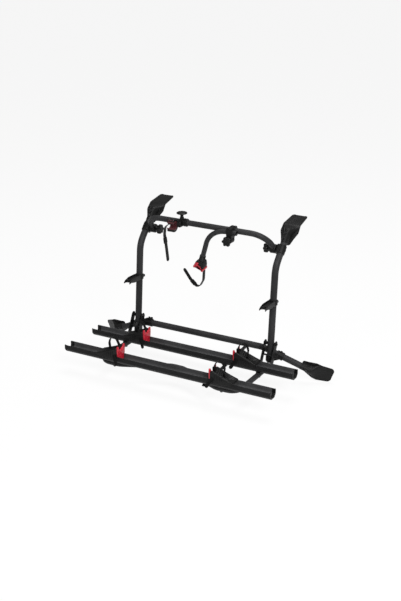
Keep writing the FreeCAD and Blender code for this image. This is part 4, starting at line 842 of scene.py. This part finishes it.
# The support strut
# A 20 by 6 mm flat steel bar clipped round the front tube and run back under the platform to the
# door, where a rubber foot takes the load.
STRUT_X = 217.0
strut_a = np.array([STRUT_X, -240.0, FRAME_Z - FRAME_R - 3.5])
strut_b = np.array([STRUT_X, 288.0, -36.0])
strut_way = unit(strut_b - strut_a)
strut_over = unit(np.cross(ACROSS, strut_way))
strut_length = np.linalg.norm(strut_b - strut_a)
strut_outline = rounded([(-10, -6, 6), (10, -6, 6), (10, strut_length), (-10, strut_length)])
front_way = unit(half_frame[3] - half_frame[2])
clip_at = half_frame[2] + front_way * ((STRUT_X - FRAME_BEND) / front_way[0])
strut_parts = [set_slab(strut_outline, -3, 3, strut_a, ACROSS, strut_way, 0.9),
               sleeve(clip_at - front_way * 10, clip_at + front_way * 10, FRAME_R, 3.2, False)]
piece("support_strut_bar", "platform", COAT, strut_parts, "support_strut")
foot_parts = [slab(oblong(-14, -9, 14, 9, 4), 0, 6, 1.2)]
for z in (-5, 0, 5):
    foot_parts.append(slab(oblong(-11, z - 1.2, 11, z + 1.2, 1, 1), 5.4, 6.0, 0.3))
piece("strut_foot_rubber", "platform", RUBBER, placed(foot_parts, strut_b, ACROSS, -strut_over), "strut_foot")

# The clips that hold the folded platform
# Nylon mouldings on the uprights: a split collar, two beak-shaped fingers that the arm springs
# between, a rounded seat behind them, and a bolted tab at the back.
CLIP_Z = 306.0
fold = radians(-97)
arm_points = np.array([[0.0, FRAME_Z], [-260.0, FRAME_Z]]) - HINGE[1:]
arm_points = arm_points @ np.array([[cos(fold), sin(fold)], [-sin(fold), cos(fold)]]) + HINGE[1:]
arm_lean = unit(arm_points[1] - arm_points[0])
seat_y = arm_points[0, 0] + arm_lean[0] * (CLIP_Z - arm_points[0, 1]) / arm_lean[1]
clip_y = on_upright(CLIP_Z)[1]
beak = rounded([(seat_y - 12, 306, 3), (seat_y - 12, 298, 2), (seat_y - 6, 298, 2), (seat_y + 2, 302, 3),
                (seat_y + 42, 292, 8), (clip_y - 12, 288.5, 3), (clip_y - 6, 288.5, 1), (clip_y - 6, 317, 1),
                (seat_y + 94, 320.5, 20), (seat_y + 32, 322.5, 40), (seat_y, 313.5, 9)])
upright_line = UPRIGHT_X * ACROSS
clip_parts = [set_slab(beak, x, x + 4, upright_line, TO_DOOR, UP, 1.2) for x in (-19.7, 15.7)]
seat_arc = np.linspace(-pi / 2, pi / 2, 28)
seat_arc = np.column_stack([np.sin(seat_arc), np.cos(seat_arc)])
seat_part = slab(np.concatenate([15.8 * seat_arc, 19.6 * seat_arc[::-1]]), -7, 10, 0.9)
seat_over = np.cross([0, *arm_lean], ACROSS)
clip_parts += placed([seat_part], [UPRIGHT_X, seat_y, CLIP_Z], ACROSS, seat_over)
clip_parts.append(sleeve(on_upright(CLIP_Z - 17.5), on_upright(CLIP_Z + 11.5), UPRIGHT_R, 5.0, False))
web = oblong(-17, seat_y + 17, 17, clip_y - 8)
for z in (CLIP_Z - 8, CLIP_Z + 4):
    clip_parts.append(set_slab(web, z, z + 2.6, upright_line, ACROSS, TO_DOOR, 0.6))
tab = rounded([(clip_y + 17, CLIP_Z - 17.8, 3), (clip_y + 48, CLIP_Z - 17.8, 6), (clip_y + 48, CLIP_Z - 4, 6),
               (clip_y + 17, CLIP_Z + 6, 6)])
clip_parts += [set_slab(tab, x, x + 6.8, upright_line, TO_DOOR, UP, 1.2) for x in (-8.0, 1.2)]
clip_bolt = bolt(np.array([UPRIGHT_X - 8.2, clip_y + 35, CLIP_Z - 10]), ACROSS, 16.4, 6.0)
for side, parts in sides(clip_parts):
    piece(f"platform_clip_body_{side}", "door_frame", PLASTIC, parts, f"platform_clip_{side}")
piece("clamp_bolts_hex", "door_frame", STEEL, clamp_bolts + both(clip_bolt), "clamp_bolts", sharp=28)

# The short frame holder
# A moulded clamp on the upper bar with a mushroom knob on its stem; its C-shaped jaw opens
# forwards and is lined with red rubber, and a toothed strap hangs from the jaw's outer end.
def on_bar(x, dy=0.0, dz=0.0):
    """Point beside the upper bar's axis."""
    return np.array([x, bar_y + dy, bar_z + dz])


def dense(path, step=1.5):
    """A centre line with its directions, resampled at an even step, and how far each point lies."""
    at, way = path
    gone = run_length(at)
    where = np.linspace(0, gone[-1], int(gone[-1] / step) + 2)
    at, way = (np.column_stack([np.interp(where, gone, line[:, k]) for k in range(3)]) for line in (at, way))
    return (at, unit(way)), where


def strap(points, radii, side, width, thick, tip=True, pitch=4.0):
    """Ladder strap: a rounded rectangle carried along the path. On one face its thickness follows
    a saw tooth, the square of the part of each pitch gone by; both edges keep a smooth border."""
    path, gone = dense(bend_path(points, radii))
    half = np.full(len(gone), width / 2)
    if tip:
        left, r = gone[-1] - gone, width / 2
        half = half - np.where(left < r, r - np.sqrt(np.maximum(width * left - left ** 2, 0.04)), 0)
    across = np.array([-1, -0.97, -0.82, -0.74, 0.74, 0.82, 0.97, 1])
    low = np.array([0.5, 0.9, 1, 1, 1, 1, 0.9, 0.5])
    tooth = (gone / pitch) % 1
    rise = np.where(np.abs(across) < 0.78, 1.0, 0.0) * (0.9 * tooth ** 2 - 0.45)[:, None]
    top = thick / 2 * low + rise * 0.8
    bottom = np.repeat(-thick / 2 * low[None, ::-1], len(gone), 0)
    u = half[:, None] * np.concatenate([across, across[::-1]])
    v = np.concatenate([top, bottom], axis=1)
    return skin(carried(np.stack([u, v], -1), path, side))


SHORT_X = -145.0
JAW_IN, JAW_MID, JAW_OUT, JAW_LONG, MOUTH = 20.0, 25.0, 36.0, 42.0, 14.5
short_clamp = [sleeve(on_bar(-133), on_bar(-107), BAR_R + 0.05, 5.9),
               sleeve(on_bar(-155), on_bar(-133), BAR_R + 0.05, 5.9, False)]
block = rounded([(-41, -21, 4), (-8, -21, 8), (0, -12, 4), (0, 13, 6), (-24, 13, 8), (-41, 6, 6)])
short_clamp.append(set_slab(block, -155.0, -133.0, on_bar(0), TO_DOOR, UP, 1.6))
for x in (-150.0, -144.0, -138.0):
    short_clamp.append(set_slab(inward(block, -1.0), x - 1, x + 1, on_bar(0), TO_DOOR, UP, 0.6))
neck_profile = [(14, 12), (26, 12), (27.2, 11.6), (28, 10.4), (28, 5.2), (15, 5.2)]
short_clamp.append(turned(neck_profile, on_bar(SHORT_X), UP, 32))
piece("short_holder_clamp_body", "short_holder", PLASTIC, short_clamp, "short_holder_clamp")
button_at = on_bar(SHORT_X, 0, 46)
button_profile = [(-20.5, 0), (-20.5, 8.0), (-19, 9), (-8, 9), (-3, 10), (0, 12.5), (1, 20), (1.6, 27),
                  (3.4, 29.6), (6, 30), (8.6, 28.8), (10.6, 25), (11.7, 18), (12, 9), (12, 0)]
button = [turned(button_profile, button_at, UP, 48)]
rib = rounded([(28.2, 2.2, 1), (30.2, 2.8, 1), (30.2, 7.6, 1), (28.2, 8.4, 1)], 1)
for turn in np.linspace(0, 2 * pi, 18, endpoint=False):
    button.append(set_slab(rib, -1.6, 1.6, button_at, np.array([cos(turn), sin(turn), 0]), UP, 0.7))
button.append(turned([(-30.4, 0), (-30.4, 4.2), (-29.6, 4.9), (-20, 4.9), (-20, 0)], button_at, UP, 20))
piece("short_holder_button", "short_knob", PLASTIC, button, "short_holder_knob")


def arc_ring(outer, inner, ribs=0, rib=0.0, count=120):
    """Section of a C-shaped jaw: an outer arc and an inner arc back, both ended where they meet
    the mouth's plane; the inner radius loses rib * cos(ribs * b) wherever that is positive."""
    ends = [np.arccos(-MOUTH / r) for r in (outer, inner)]
    a, b = np.linspace(-ends[0], ends[0], count), np.linspace(ends[1], -ends[1], count)
    r = inner - rib * np.maximum(np.cos(ribs * b), 0)
    return np.concatenate([np.column_stack([outer * np.cos(a), outer * np.sin(a)]),
                           np.column_stack([r * np.cos(b), r * np.sin(b)])])


def jaw_skin(rows, section):
    """Skin over a jaw's rows (how far along, how much less), the same from both ends."""
    rows = rows + [(JAW_LONG - x, less) for x, less in rows[::-1]]
    return skin(along_x([section(less) for x, less in rows], [x for x, less in rows]) + jaw_mid)


jaw_mid = on_bar(-197, -58, -9)
jaw_rows = [(0, 1.4), (0.5, 0.5), (1.6, 0), (5, 0), (6, -1.2), (9, -1.2), (10, 0)]
jaw = jaw_skin(jaw_rows, lambda less: arc_ring(JAW_OUT - less * 0.6, JAW_MID))
liner_rows = [(-1.2, 0.9), (-0.8, 0.2), (-0.2, 0)]
liner = jaw_skin(liner_rows, lambda less: arc_ring(JAW_MID + 0.02 - less, JAW_IN + less, 26, 1.5))
swell = np.concatenate([[0.2, 0.7, 0.95], np.ones(18), [0.95, 0.7, 0.2]])
rims = []
for reach in (JAW_OUT - 1.2, JAW_MID + 1.0):
    rim_at = jaw_mid + [0, -MOUTH, np.sqrt(reach ** 2 - MOUTH ** 2)]
    rim_path = rim_at + np.linspace(0.5, JAW_LONG - 0.5, 24)[:, None] * ACROSS, np.tile(ACROSS, (24, 1))
    rims.append(skin(carried(swell[:, None, None] * (circle(1.0, 20) * [1.6, 1.2])[None], rim_path, UP)))
# a darker tone of the red rubber slot, used for the short holder's liner and rims
DARK_RED = moulded("darker red rubber", "red_rubber", (0.035, 0.004, 0.006), (0.075, 0.007, 0.010),
                   0.5, 700.0)
RED = moulded("soft red rubber", "red_rubber", (0.43, 0.008, 0.022), (0.53, 0.014, 0.035), 0.34, 1100.0)
piece("short_holder_jaw_shell", "short_holder", PLASTIC, [jaw], "short_holder_jaw", sharp=40)
piece("short_holder_red_liner", "short_holder", DARK_RED, [liner], "short_holder_liner", sharp=50)
piece("short_holder_red_rims", "short_holder", DARK_RED, rims, sharp=50)


def strap_rubber():
    """Black thermoplastic strap: a low sheen with fine lengthwise flow lines and dull scuffs."""
    made, shader, at = material("black strap rubber", "black_strap", Specular_IOR_Level=0.12)
    flow, scuff = at.noise(160, 3, 0.6), at.noise(45, 4)
    into(shader, Base_Color=scuff.between(0.3, 0.7).blend(0.003, 0.006),
         Roughness=0.40 + flow.between(0.3, 0.7) * 0.14, height=flow * 0.05)
    return made


STRAP = strap_rubber()
STRAP_Y, STRAP_W, STRAP_T = 130.0, 26.0, 4.0
lug = set_slab(oblong(-14, -4, 14, 16, 3), jaw_mid[0] - 14, jaw_mid[0] + 1, [0, STRAP_Y, jaw_mid[2]],
               TO_DOOR, UP, 1.4)
STRAP_LEAN, BUCKLE_Z = radians(4), 556.0
strap_root = np.array([jaw_mid[0] - 7, STRAP_Y, jaw_mid[2] - 2])
short_points = [strap_root]
for x, z in ((-236, 640), (-243, 590), (-237, 540), (-228, 432)):
    drop = strap_root[2] - z
    short_points.append([x, STRAP_Y + drop * sin(STRAP_LEAN), strap_root[2] - drop * cos(STRAP_LEAN)])
buckle_at = np.array([-239.5, STRAP_Y + (strap_root[2] - BUCKLE_Z) * sin(STRAP_LEAN), BUCKLE_Z])
buckle_way = unit([0.10, sin(STRAP_LEAN), -cos(STRAP_LEAN)])
buckle_frame = oblong(-17, -15.5, 17, 15.5, 4)
lever = rounded([(-19, -9, 3), (6, -9, 3), (10, -6, 2), (10, 6, 2), (6, 9, 3), (-19, 9, 3)])
buckle = [set_slab(buckle_frame, -3.8, 3.8, buckle_at, buckle_way, TO_DOOR, 1.6),
          set_slab(lever, -6.4, -3.4, buckle_at, buckle_way, TO_DOOR, 1.0)]
piece("short_holder_toothed_strap", "short_holder", STRAP,
      [lug, strap(short_points, [40, 40, 40], TO_DOOR, STRAP_W, STRAP_T)] + buckle, "short_holder_strap",
      sharp=40)

# The long frame holder
# A 28 mm cane-shaped tube held beside the upper bar by a bolted clamp with a star knob. Its head
# is a moulded bell with red rubber lobes, and its strap loops forward to a buckle.
CANE_R, cane_y, cane_z = 14.0, bar_y - 34, bar_z - 2
cane_corner = np.array([52.0, cane_y, cane_z])
cane_foot = np.array([-33.0, 178.0, 442.0])
cane_way = unit(cane_foot - cane_corner)
HEAD_HIGH, HEAD_HALF, BORE = 54.0, 30.0, 24.0
head_neck = cane_foot - cane_way * HEAD_HIGH / 2
cane_start = np.array([214.0, cane_y, cane_z])
piece("long_holder_cane", "long_holder", COAT,
      [pipe([cane_start, cane_corner, head_neck], [145], CANE_R, unit(np.cross(ACROSS, cane_way)))],
      "long_holder_tube")
cane_plug = turned([(-3.4, 0), (-3.4, 10), (-2.4, 12.8), (0, 14), (0, 12.5), (12, 12.5), (12, 0)],
                   cane_start, -ACROSS, 36)
COLLAR_LONG, collar_bore = 30.0, CANE_R + 0.02
collar_profile = [(0, collar_bore), (0, 16), (0.8, 17.2)]
for h in np.linspace(2, 26, 9):
    collar_profile += [(h, 17.5), (h + 0.9, 16.7), (h + 1.8, 16.7), (h + 2.6, 17.5)]
collar_profile += [(29.2, 17.2), (COLLAR_LONG, 16), (COLLAR_LONG, collar_bore)]
collar = hollow(collar_profile, head_neck - cane_way * COLLAR_LONG, cane_way, 44)
piece("long_holder_ribbed_collar", "long_holder", PLASTIC, [collar, cane_plug], "long_holder_collar")
head_place = head_neck, unit([-cane_way[2], 0, cane_way[0]]), -cane_way
roof = [(BORE * cos(a), BORE * sin(a) - HEAD_HIGH) for a in np.linspace(pi, 0, 41)[1:-1]]
jaw_section = rounded([(-HEAD_HALF, -HEAD_HIGH, 1.5), (-BORE, -HEAD_HIGH), *roof, (BORE, -HEAD_HIGH),
                       (HEAD_HALF, -HEAD_HIGH, 1.5), (26.5, -24, 20), (17.5, -1, 8), (-17.5, -1, 8),
                       (-26.5, -24, 20)])
neck_profile = [(0, 0), (0, 16.6), (1.6, 17.9), (8, 18.4), (16, 20), (16, 0)]
head_parts = [slab(jaw_section, -24, 24, 3.0), turned(neck_profile, np.zeros(3), -TO_DOOR, 40)]
for z in (-18.0, -9.0, 0.0, 9.0, 18.0):
    head_parts.append(slab(inward(jaw_section, -0.9), z - 1.3, z + 1.3, 0.7))
piece("long_holder_head", "long_holder", PLASTIC, placed(head_parts, *head_place), "long_holder_jaw")
b = np.linspace(0, pi, 90)
pad_in = BORE - 5.0 - 1.3 * np.maximum(np.cos(18 * b), 0)
pad_arc = np.column_stack([np.cos(b), np.sin(b)])
pad_ring = np.concatenate([pad_arc * (BORE - 0.02), (pad_arc * pad_in[:, None])[::-1]])
pad_parts = [slab(pad_ring + [0, -HEAD_HIGH], -25.4, 25.4, 0.8)]
horn = rounded([(20, -52, 2), (20, -57, 4), (26, -60.5, 5), (32.5, -56, 5), (31.5, -46, 6), (28, -36, 6),
                (24.3, -40, 3), (24.3, -52, 2)])
for sign in (1, -1):
    pad_parts.append(slab(horn * [sign, 1], -25.8, 25.8, 2.6))
lobe = rounded([(-30, -52, 6), (-27, -30, 12), (-16, -12, 9), (-1, -15, 6), (-6, -30, 10), (-22, -54, 3)])
for z in (-25.4, 25.4):
    pad_parts.append(slab(lobe, z - 2.4, z + 2.4, 1.9))
piece("long_holder_red_lobes", "long_holder", RED, placed(pad_parts, *head_place), "long_holder_liner",
      sharp=50)

LONG_X, LUG_Z = 176.0, 628.0
front_y, back_y, behind_y = cane_y - CANE_R - 6, cane_y + CANE_R + 4, bar_y + BAR_R + 6
block = rounded([(front_y, LUG_Z - 12, 12), (front_y, bar_z + 24, 9), (behind_y, bar_z + 24, 12),
                 (behind_y, bar_z - 22, 12), (bar_y - 6, bar_z - 26, 8), (back_y, LUG_Z, 8),
                 (back_y, LUG_Z - 14, 8)])
clamp_parts = [set_slab(block, LONG_X - 16, LONG_X + 16, [0, 0, 0], TO_DOOR, UP, 2.4)]
for x in (165.0, 171.0, 181.0, 187.0):
    clamp_parts.append(set_slab(inward(block, -1.1), x - 1.1, x + 1.1, [0, 0, 0], TO_DOOR, UP, 0.7))
lug_profile = [(0, 0), (0, 17.4), (1.4, 19), (36, 19), (38, 17.4), (38, 0)]
clamp_parts.append(turned(lug_profile, [LONG_X, front_y, LUG_Z], TO_DOOR, 44))
for y, z, bore in ((bar_y, bar_z, BAR_R + 0.05), (cane_y, cane_z, CANE_R - 0.95)):
    clamp_parts.append(sleeve([LONG_X - 19, y, z], [LONG_X + 19, y, z], bore, 5.0, False))
piece("long_holder_clamp_body", "long_holder", PLASTIC, clamp_parts, "long_holder_clamp")
long_seat = np.array([LONG_X, front_y - SEAT_GAP, LUG_Z])
long_knob = star_knob(long_seat, -TO_DOOR, ACROSS, 28, 20, 10)
long_stud = turned([(0, 0), (0, 4.9), (33, 4.9), (33.8, 4.2), (33.8, 0)], long_seat, TO_DOOR, 24)
piece("long_holder_star", "long_knob", PLASTIC, long_knob, "long_holder_knob", sharp=30)
piece("long_holder_stud", "long_knob", STEEL, [long_stud])
root = head_neck + head_place[1] * (BORE + HEAD_HALF) / 2 + head_place[2] * (4 - HEAD_HIGH)
long_route = [(-19, 345), (-40, 306), (-62, 300), (-104, 336), (-146, 392)]
long_points = [root] + [[x, root[1], z] for x, z in long_route]
buckle_at, buckle_way = np.array([-84.0, root[1], 318.5]), unit([-0.76, 0, 0.65])
buckle = [set_slab(buckle_frame, -3.8, 3.8, buckle_at, buckle_way, TO_DOOR, 1.6),
          set_slab(lever[::-1] * [-1, 1], 3.4, 6.4, buckle_at, buckle_way, TO_DOOR, 1.0)]
piece("long_holder_toothed_strap", "long_holder", STRAP,
      [strap(long_points, [40, 18, 18, 60], TO_DOOR, STRAP_W, STRAP_T)] + buckle, "long_holder_strap",
      sharp=40)

# The wheel holders
# Four nylon chocks that slide on the rails: a ramp with a V for the tyre and skirts over the
# rail's walls, a red rubber insert with two horns on the inner end, and a toothed strap.
CHOCK_X, CHOCK_LONG, CHOCK_HIGH, CHOCK_TOE, CHOCK_HALF = 292.0, 131.0, 50.0, 3.4, 38.4


def ramp(s):
    """Height of the ramp: level for 12 mm from the inner end, then a straight fall to the toe."""
    return CHOCK_HIGH - (CHOCK_HIGH - CHOCK_TOE) * np.clip((s - 12) / (CHOCK_LONG - 12), 0, 1)


def chock_rings(rows=72):
    """Rings of a chock along x. The crown's height follows the ramp and is rounded off at the
    inner end, the V's depth follows it, and each ring runs over one skirt, across the V, over
    the other skirt and back under the ramp along the rail's lips."""
    near_end = np.array([0.6, 1.6, 3.0])
    s = np.unique(np.concatenate([np.linspace(0, CHOCK_LONG, rows), near_end, CHOCK_LONG - near_end]))
    high = ramp(s) - 7.5 * (1 - np.sqrt(np.clip(1 - ((9 - s) / 9).clip(0, 1) ** 2, 0, 1)))
    deep = np.minimum(24.0, np.maximum(high - 5.5, 0.0))
    ends = np.minimum(s, CHOCK_LONG - s)
    less = np.interp(ends, [0, 0.6, 1.6, 3.0], [2.0, 0.9, 0.25, 0])
    half = CHOCK_HALF - less
    waist = 2.6 * np.sin(pi * np.clip(s / CHOCK_LONG, 0, 1)) ** 2
    skirt = -18.0 + 6.0 * smooth((s - 78) / 50) + 7.0 * smooth((14 - s) / 14)
    rings = []
    u = np.linspace(0, 1, 26)
    for x, h, d, w, wa, sk in zip(s, high, deep, half, waist, skirt):
        shoulder = min(9.0, h * 0.55)
        side = np.column_stack([np.full(8, w), np.linspace(sk + 1.2, max(h - shoulder, 1.0), 8)])
        side[:, 0] -= wa * smooth((side[:, 1] - 2) / 20)
        a = np.linspace(0, pi / 2, 7)[1:]
        rise = np.maximum(h - shoulder + shoulder * np.sin(a), side[-1, 1])
        over = np.column_stack([side[-1, 0] - shoulder * (1 - np.cos(a)), rise])
        edge = over[-1, 0]
        groove = np.column_stack([edge * (1 - u[1:]), h - d * smooth(u[1:] * 1.05) ** 0.9])
        half_top = np.concatenate([side, over, groove])
        top = np.concatenate([half_top, half_top[-2::-1] * [-1, 1]])
        inner = w - 4.0
        under = np.array([[w - 1.0, sk], [inner + 0.6, sk], [inner, sk + 0.8], [inner, 0.4], [20, 0.4]])
        under = np.concatenate([under * [-1, 1], [[0, 0.4]], under[::-1]])
        section = np.concatenate([top, under])
        rings.append(np.column_stack([np.full(len(section), CHOCK_X + x), section]))
    return np.array(rings)


chock = skin(chock_rings())
side_marks = []
for s in np.arange(26, 87, 15):
    rib = oblong(CHOCK_X + s - 1.6, -10, CHOCK_X + s + 1.6, max(ramp(s) - 13, -2), 1.4, 1)
    for low, high in ((-CHOCK_HALF - 1.0, -CHOCK_HALF + 4.0), (CHOCK_HALF - 4.0, CHOCK_HALF + 1.0)):
        side_marks.append(set_slab(rib, low, high, [0, 0, 0], ACROSS, UP, 0.6))
steps = []
for s in np.arange(22, 89, 11):
    h = ramp(s)
    for sign in (-1, 1):
        path = (np.array([[0, 27.0, h - 1.6], [0, 14.0, h - 9.5], [0, 5.0, h - min(24.0, h - 5.5) + 1.2]]),
                unit([[0, -13, -7.9], [0, -11, -8.0], [0, -9, -8.0]]))
        path = [line * [1, sign, 1] for line in path]
        path[0] += (CHOCK_X + s) * ACROSS
        steps.append(skin(carried(circle(1.0, 10) * [1.3, 1.5], path, ACROSS)))
half_insert = [(26, -31, 9), (27, -2, 3), (34, 2, 6), (37, 40, 14), (35.5, 59, 6), (26, 60, 5), (19, 45, 10)]
other_half = [(-x, z, r) for x, z, r in half_insert[:0:-1]]
insert_outline = rounded([(-26, -31, 9), *half_insert, (0, 28, 9), *other_half], 1.6)
insert_web = rounded([(-30, 4, 4), (30, 4, 4), (30, 46, 4), (22, 46, 6), (0, 35, 12), (-22, 46, 6),
                      (-30, 46, 4)], 1.6)
insert_slabs = [slab(insert_outline, 0, 9, 2.6), slab(insert_web, 4, 9.4, 1)]
for w, z in ((17, -22), (17, -14), (17, -6), (24, 2), (14.4, 10)):
    insert_slabs.append(slab(oblong(-w, z - 1.5, w, z + 1.5, 1.4, 1), -1.3, 1.0, 0.8))
insert = [(points[:, [2, 0, 1]] + [CHOCK_X - 9, 0, 0], faces) for points, faces in insert_slabs]
LOOP = [(296, 24), (297, 60), (312, 93), (337, 99), (354, 87), (361, 62), (354, 12)]
TAIL = np.array([[309.0, -CHOCK_HALF, 12.0], [278.0, -CHOCK_HALF - 21.4, -40.0]])
TIE_SIZE = 20.0, 3.0
lock_outline = oblong(-12, -9, 12, 9, 3)
for name, y in RAIL_Y.items():
    here = np.array([0, y, 0])
    chock_all, insert_all = ([(points + here, faces) for points, faces in parts]
                             for parts in ([chock] + side_marks + steps, insert))
    strap_all = [strap([[x, y, z] for x, z in LOOP], [18.0] * 5, TO_DOOR, *TIE_SIZE, tip=False),
                 strap(TAIL + here, [], np.cross(TO_DOOR, TAIL[1] - TAIL[0]), *TIE_SIZE),
                 set_slab(lock_outline, -4, 4, [297.0, y, 54.0], TO_DOOR, UP, 2.0)]
    for side, chock_parts, insert_parts, straps in sides(chock_all, insert_all, strap_all):
        body = f"wheel_holder_{name}_{side}"
        piece(f"{body}_chock", body, PLASTIC, chock_parts, f"wheel_chock_{name}_{side}", sharp=38)
        piece(f"{body}_insert", body, RED, insert_parts, f"wheel_insert_{name}_{side}", sharp=50)
        piece(f"{body}_toothed_strap", body, STRAP, straps, f"wheel_strap_{name}_{side}", sharp=40)

# The camera, the floor and the studio light
# The camera stands where the photograph's did, to the right of the carrier and a little above it,
# on a pale floor under three soft lamps and an even world.
camera = bpy.data.cameras.new("camera")
camera.sensor_width, camera.lens = 36.0, 66.59
camera_at = bpy.data.objects.new("camera", camera)
bpy.context.scene.collection.objects.link(camera_at)
AZIMUTH, ELEVATION, FAR = radians(29.228), radians(21.172), 6.22086
LENS_PX, ASIDE_PX, ABOVE_PX = 1111.68, 9.889, 47.566
right = np.array([cos(AZIMUTH), sin(AZIMUTH), 0])
back = np.array([sin(AZIMUTH) * cos(ELEVATION), -cos(AZIMUTH) * cos(ELEVATION), sin(ELEVATION)])
over = np.cross(back, right)
rail_to_eye = (back + right * ASIDE_PX / LENS_PX + over * ABOVE_PX / LENS_PX) * FAR
camera_at.location = rail_to_eye + RAIL_TO_HOOKS / 1000
camera_at.rotation_euler = (pi / 2 - ELEVATION, 0, AZIMUTH)
bpy.context.scene.camera = camera_at
bpy.context.scene.view_settings.view_transform = "Standard"


def seen_by(tree, *rays):
    """1 where a ray of one of these kinds meets the surface, and 0 elsewhere."""
    path = tree.nodes.new("ShaderNodeLightPath")
    first, *others = (Node(tree, path.outputs[f"Is {ray} Ray"]) for ray in rays)
    for other in others:
        first = first.maths("MAXIMUM", other)
    return first


def studio_floor():
    """Pale floor: plain diffuse, lifted towards white where the camera or a reflection sees it."""
    made = bpy.data.materials.new("pale floor")
    made.use_nodes = True
    tree = made.node_tree
    tree.nodes.clear()
    seen = seen_by(tree, "Camera", "Glossy", "Transmission")
    matt = seen.make("ShaderNodeBsdfDiffuse", Color=(0.8, 0.8, 0.8, 1))
    glow = seen.make("ShaderNodeEmission", Color=(1, 1, 1, 1), Strength=1.0)
    surface = seen.make("ShaderNodeMixShader", i0=seen * 0.9, i1=matt, i2=glow)
    tree.links.new(surface.socket, tree.nodes.new("ShaderNodeOutputMaterial").inputs["Surface"])
    return made


FLOOR_HALF, FLOOR_GAP = 30, 0.002
floor_z = min(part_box(name)[0][2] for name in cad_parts) - FLOOR_GAP
floor_mesh = bpy.data.meshes.new("floor")
floor_corners = [(x * FLOOR_HALF, y * FLOOR_HALF, floor_z) for x, y in ((-1, -1), (1, -1), (1, 1), (-1, 1))]
floor_mesh.from_pydata(floor_corners, [], [(0, 1, 2, 3)])
floor_mesh.materials.append(studio_floor())
floor = bpy.data.objects.new("floor", floor_mesh)
bpy.context.scene.collection.objects.link(floor)
floor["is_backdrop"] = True

WORLD = 0.22
world = bpy.data.worlds.new("studio")
bpy.context.scene.world = world
world.use_nodes = True
sky = world.node_tree.nodes["Background"]
sky.inputs["Color"].default_value = (1, 1, 1, 1)
level = seen_by(world.node_tree, "Camera", "Transmission") * (1 - WORLD) + WORLD
world.node_tree.links.new(level.socket, sky.inputs["Strength"])


def softbox(name, at, aim, size, power):
    """Area lamp at a point, turned to its aim."""
    lamp = bpy.data.lights.new(name, "AREA")
    lamp.shape, lamp.size, lamp.size_y, lamp.energy = "RECTANGLE", size[0], size[1], power
    made = bpy.data.objects.new(name, lamp)
    made.location = at
    way = unit(np.array(aim, float) - at)
    made.rotation_euler = (np.arccos(-way[2]), 0, atan2(way[1], way[0]) - pi / 2)
    bpy.context.scene.collection.objects.link(made)


softbox("key", np.array([4.2, -3.6, 3.4]), (0, -0.4, -0.4), (1.6, 2.4), 300)
softbox("front", np.array([-0.6, -5.2, 4.4]), (0, -0.4, -0.4), (3.0, 1.6), 110)
softbox("top", np.array([0.2, 0.6, 4.2]), (0, -0.3, -0.4), (3.0, 2.0), 150)

low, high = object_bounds()
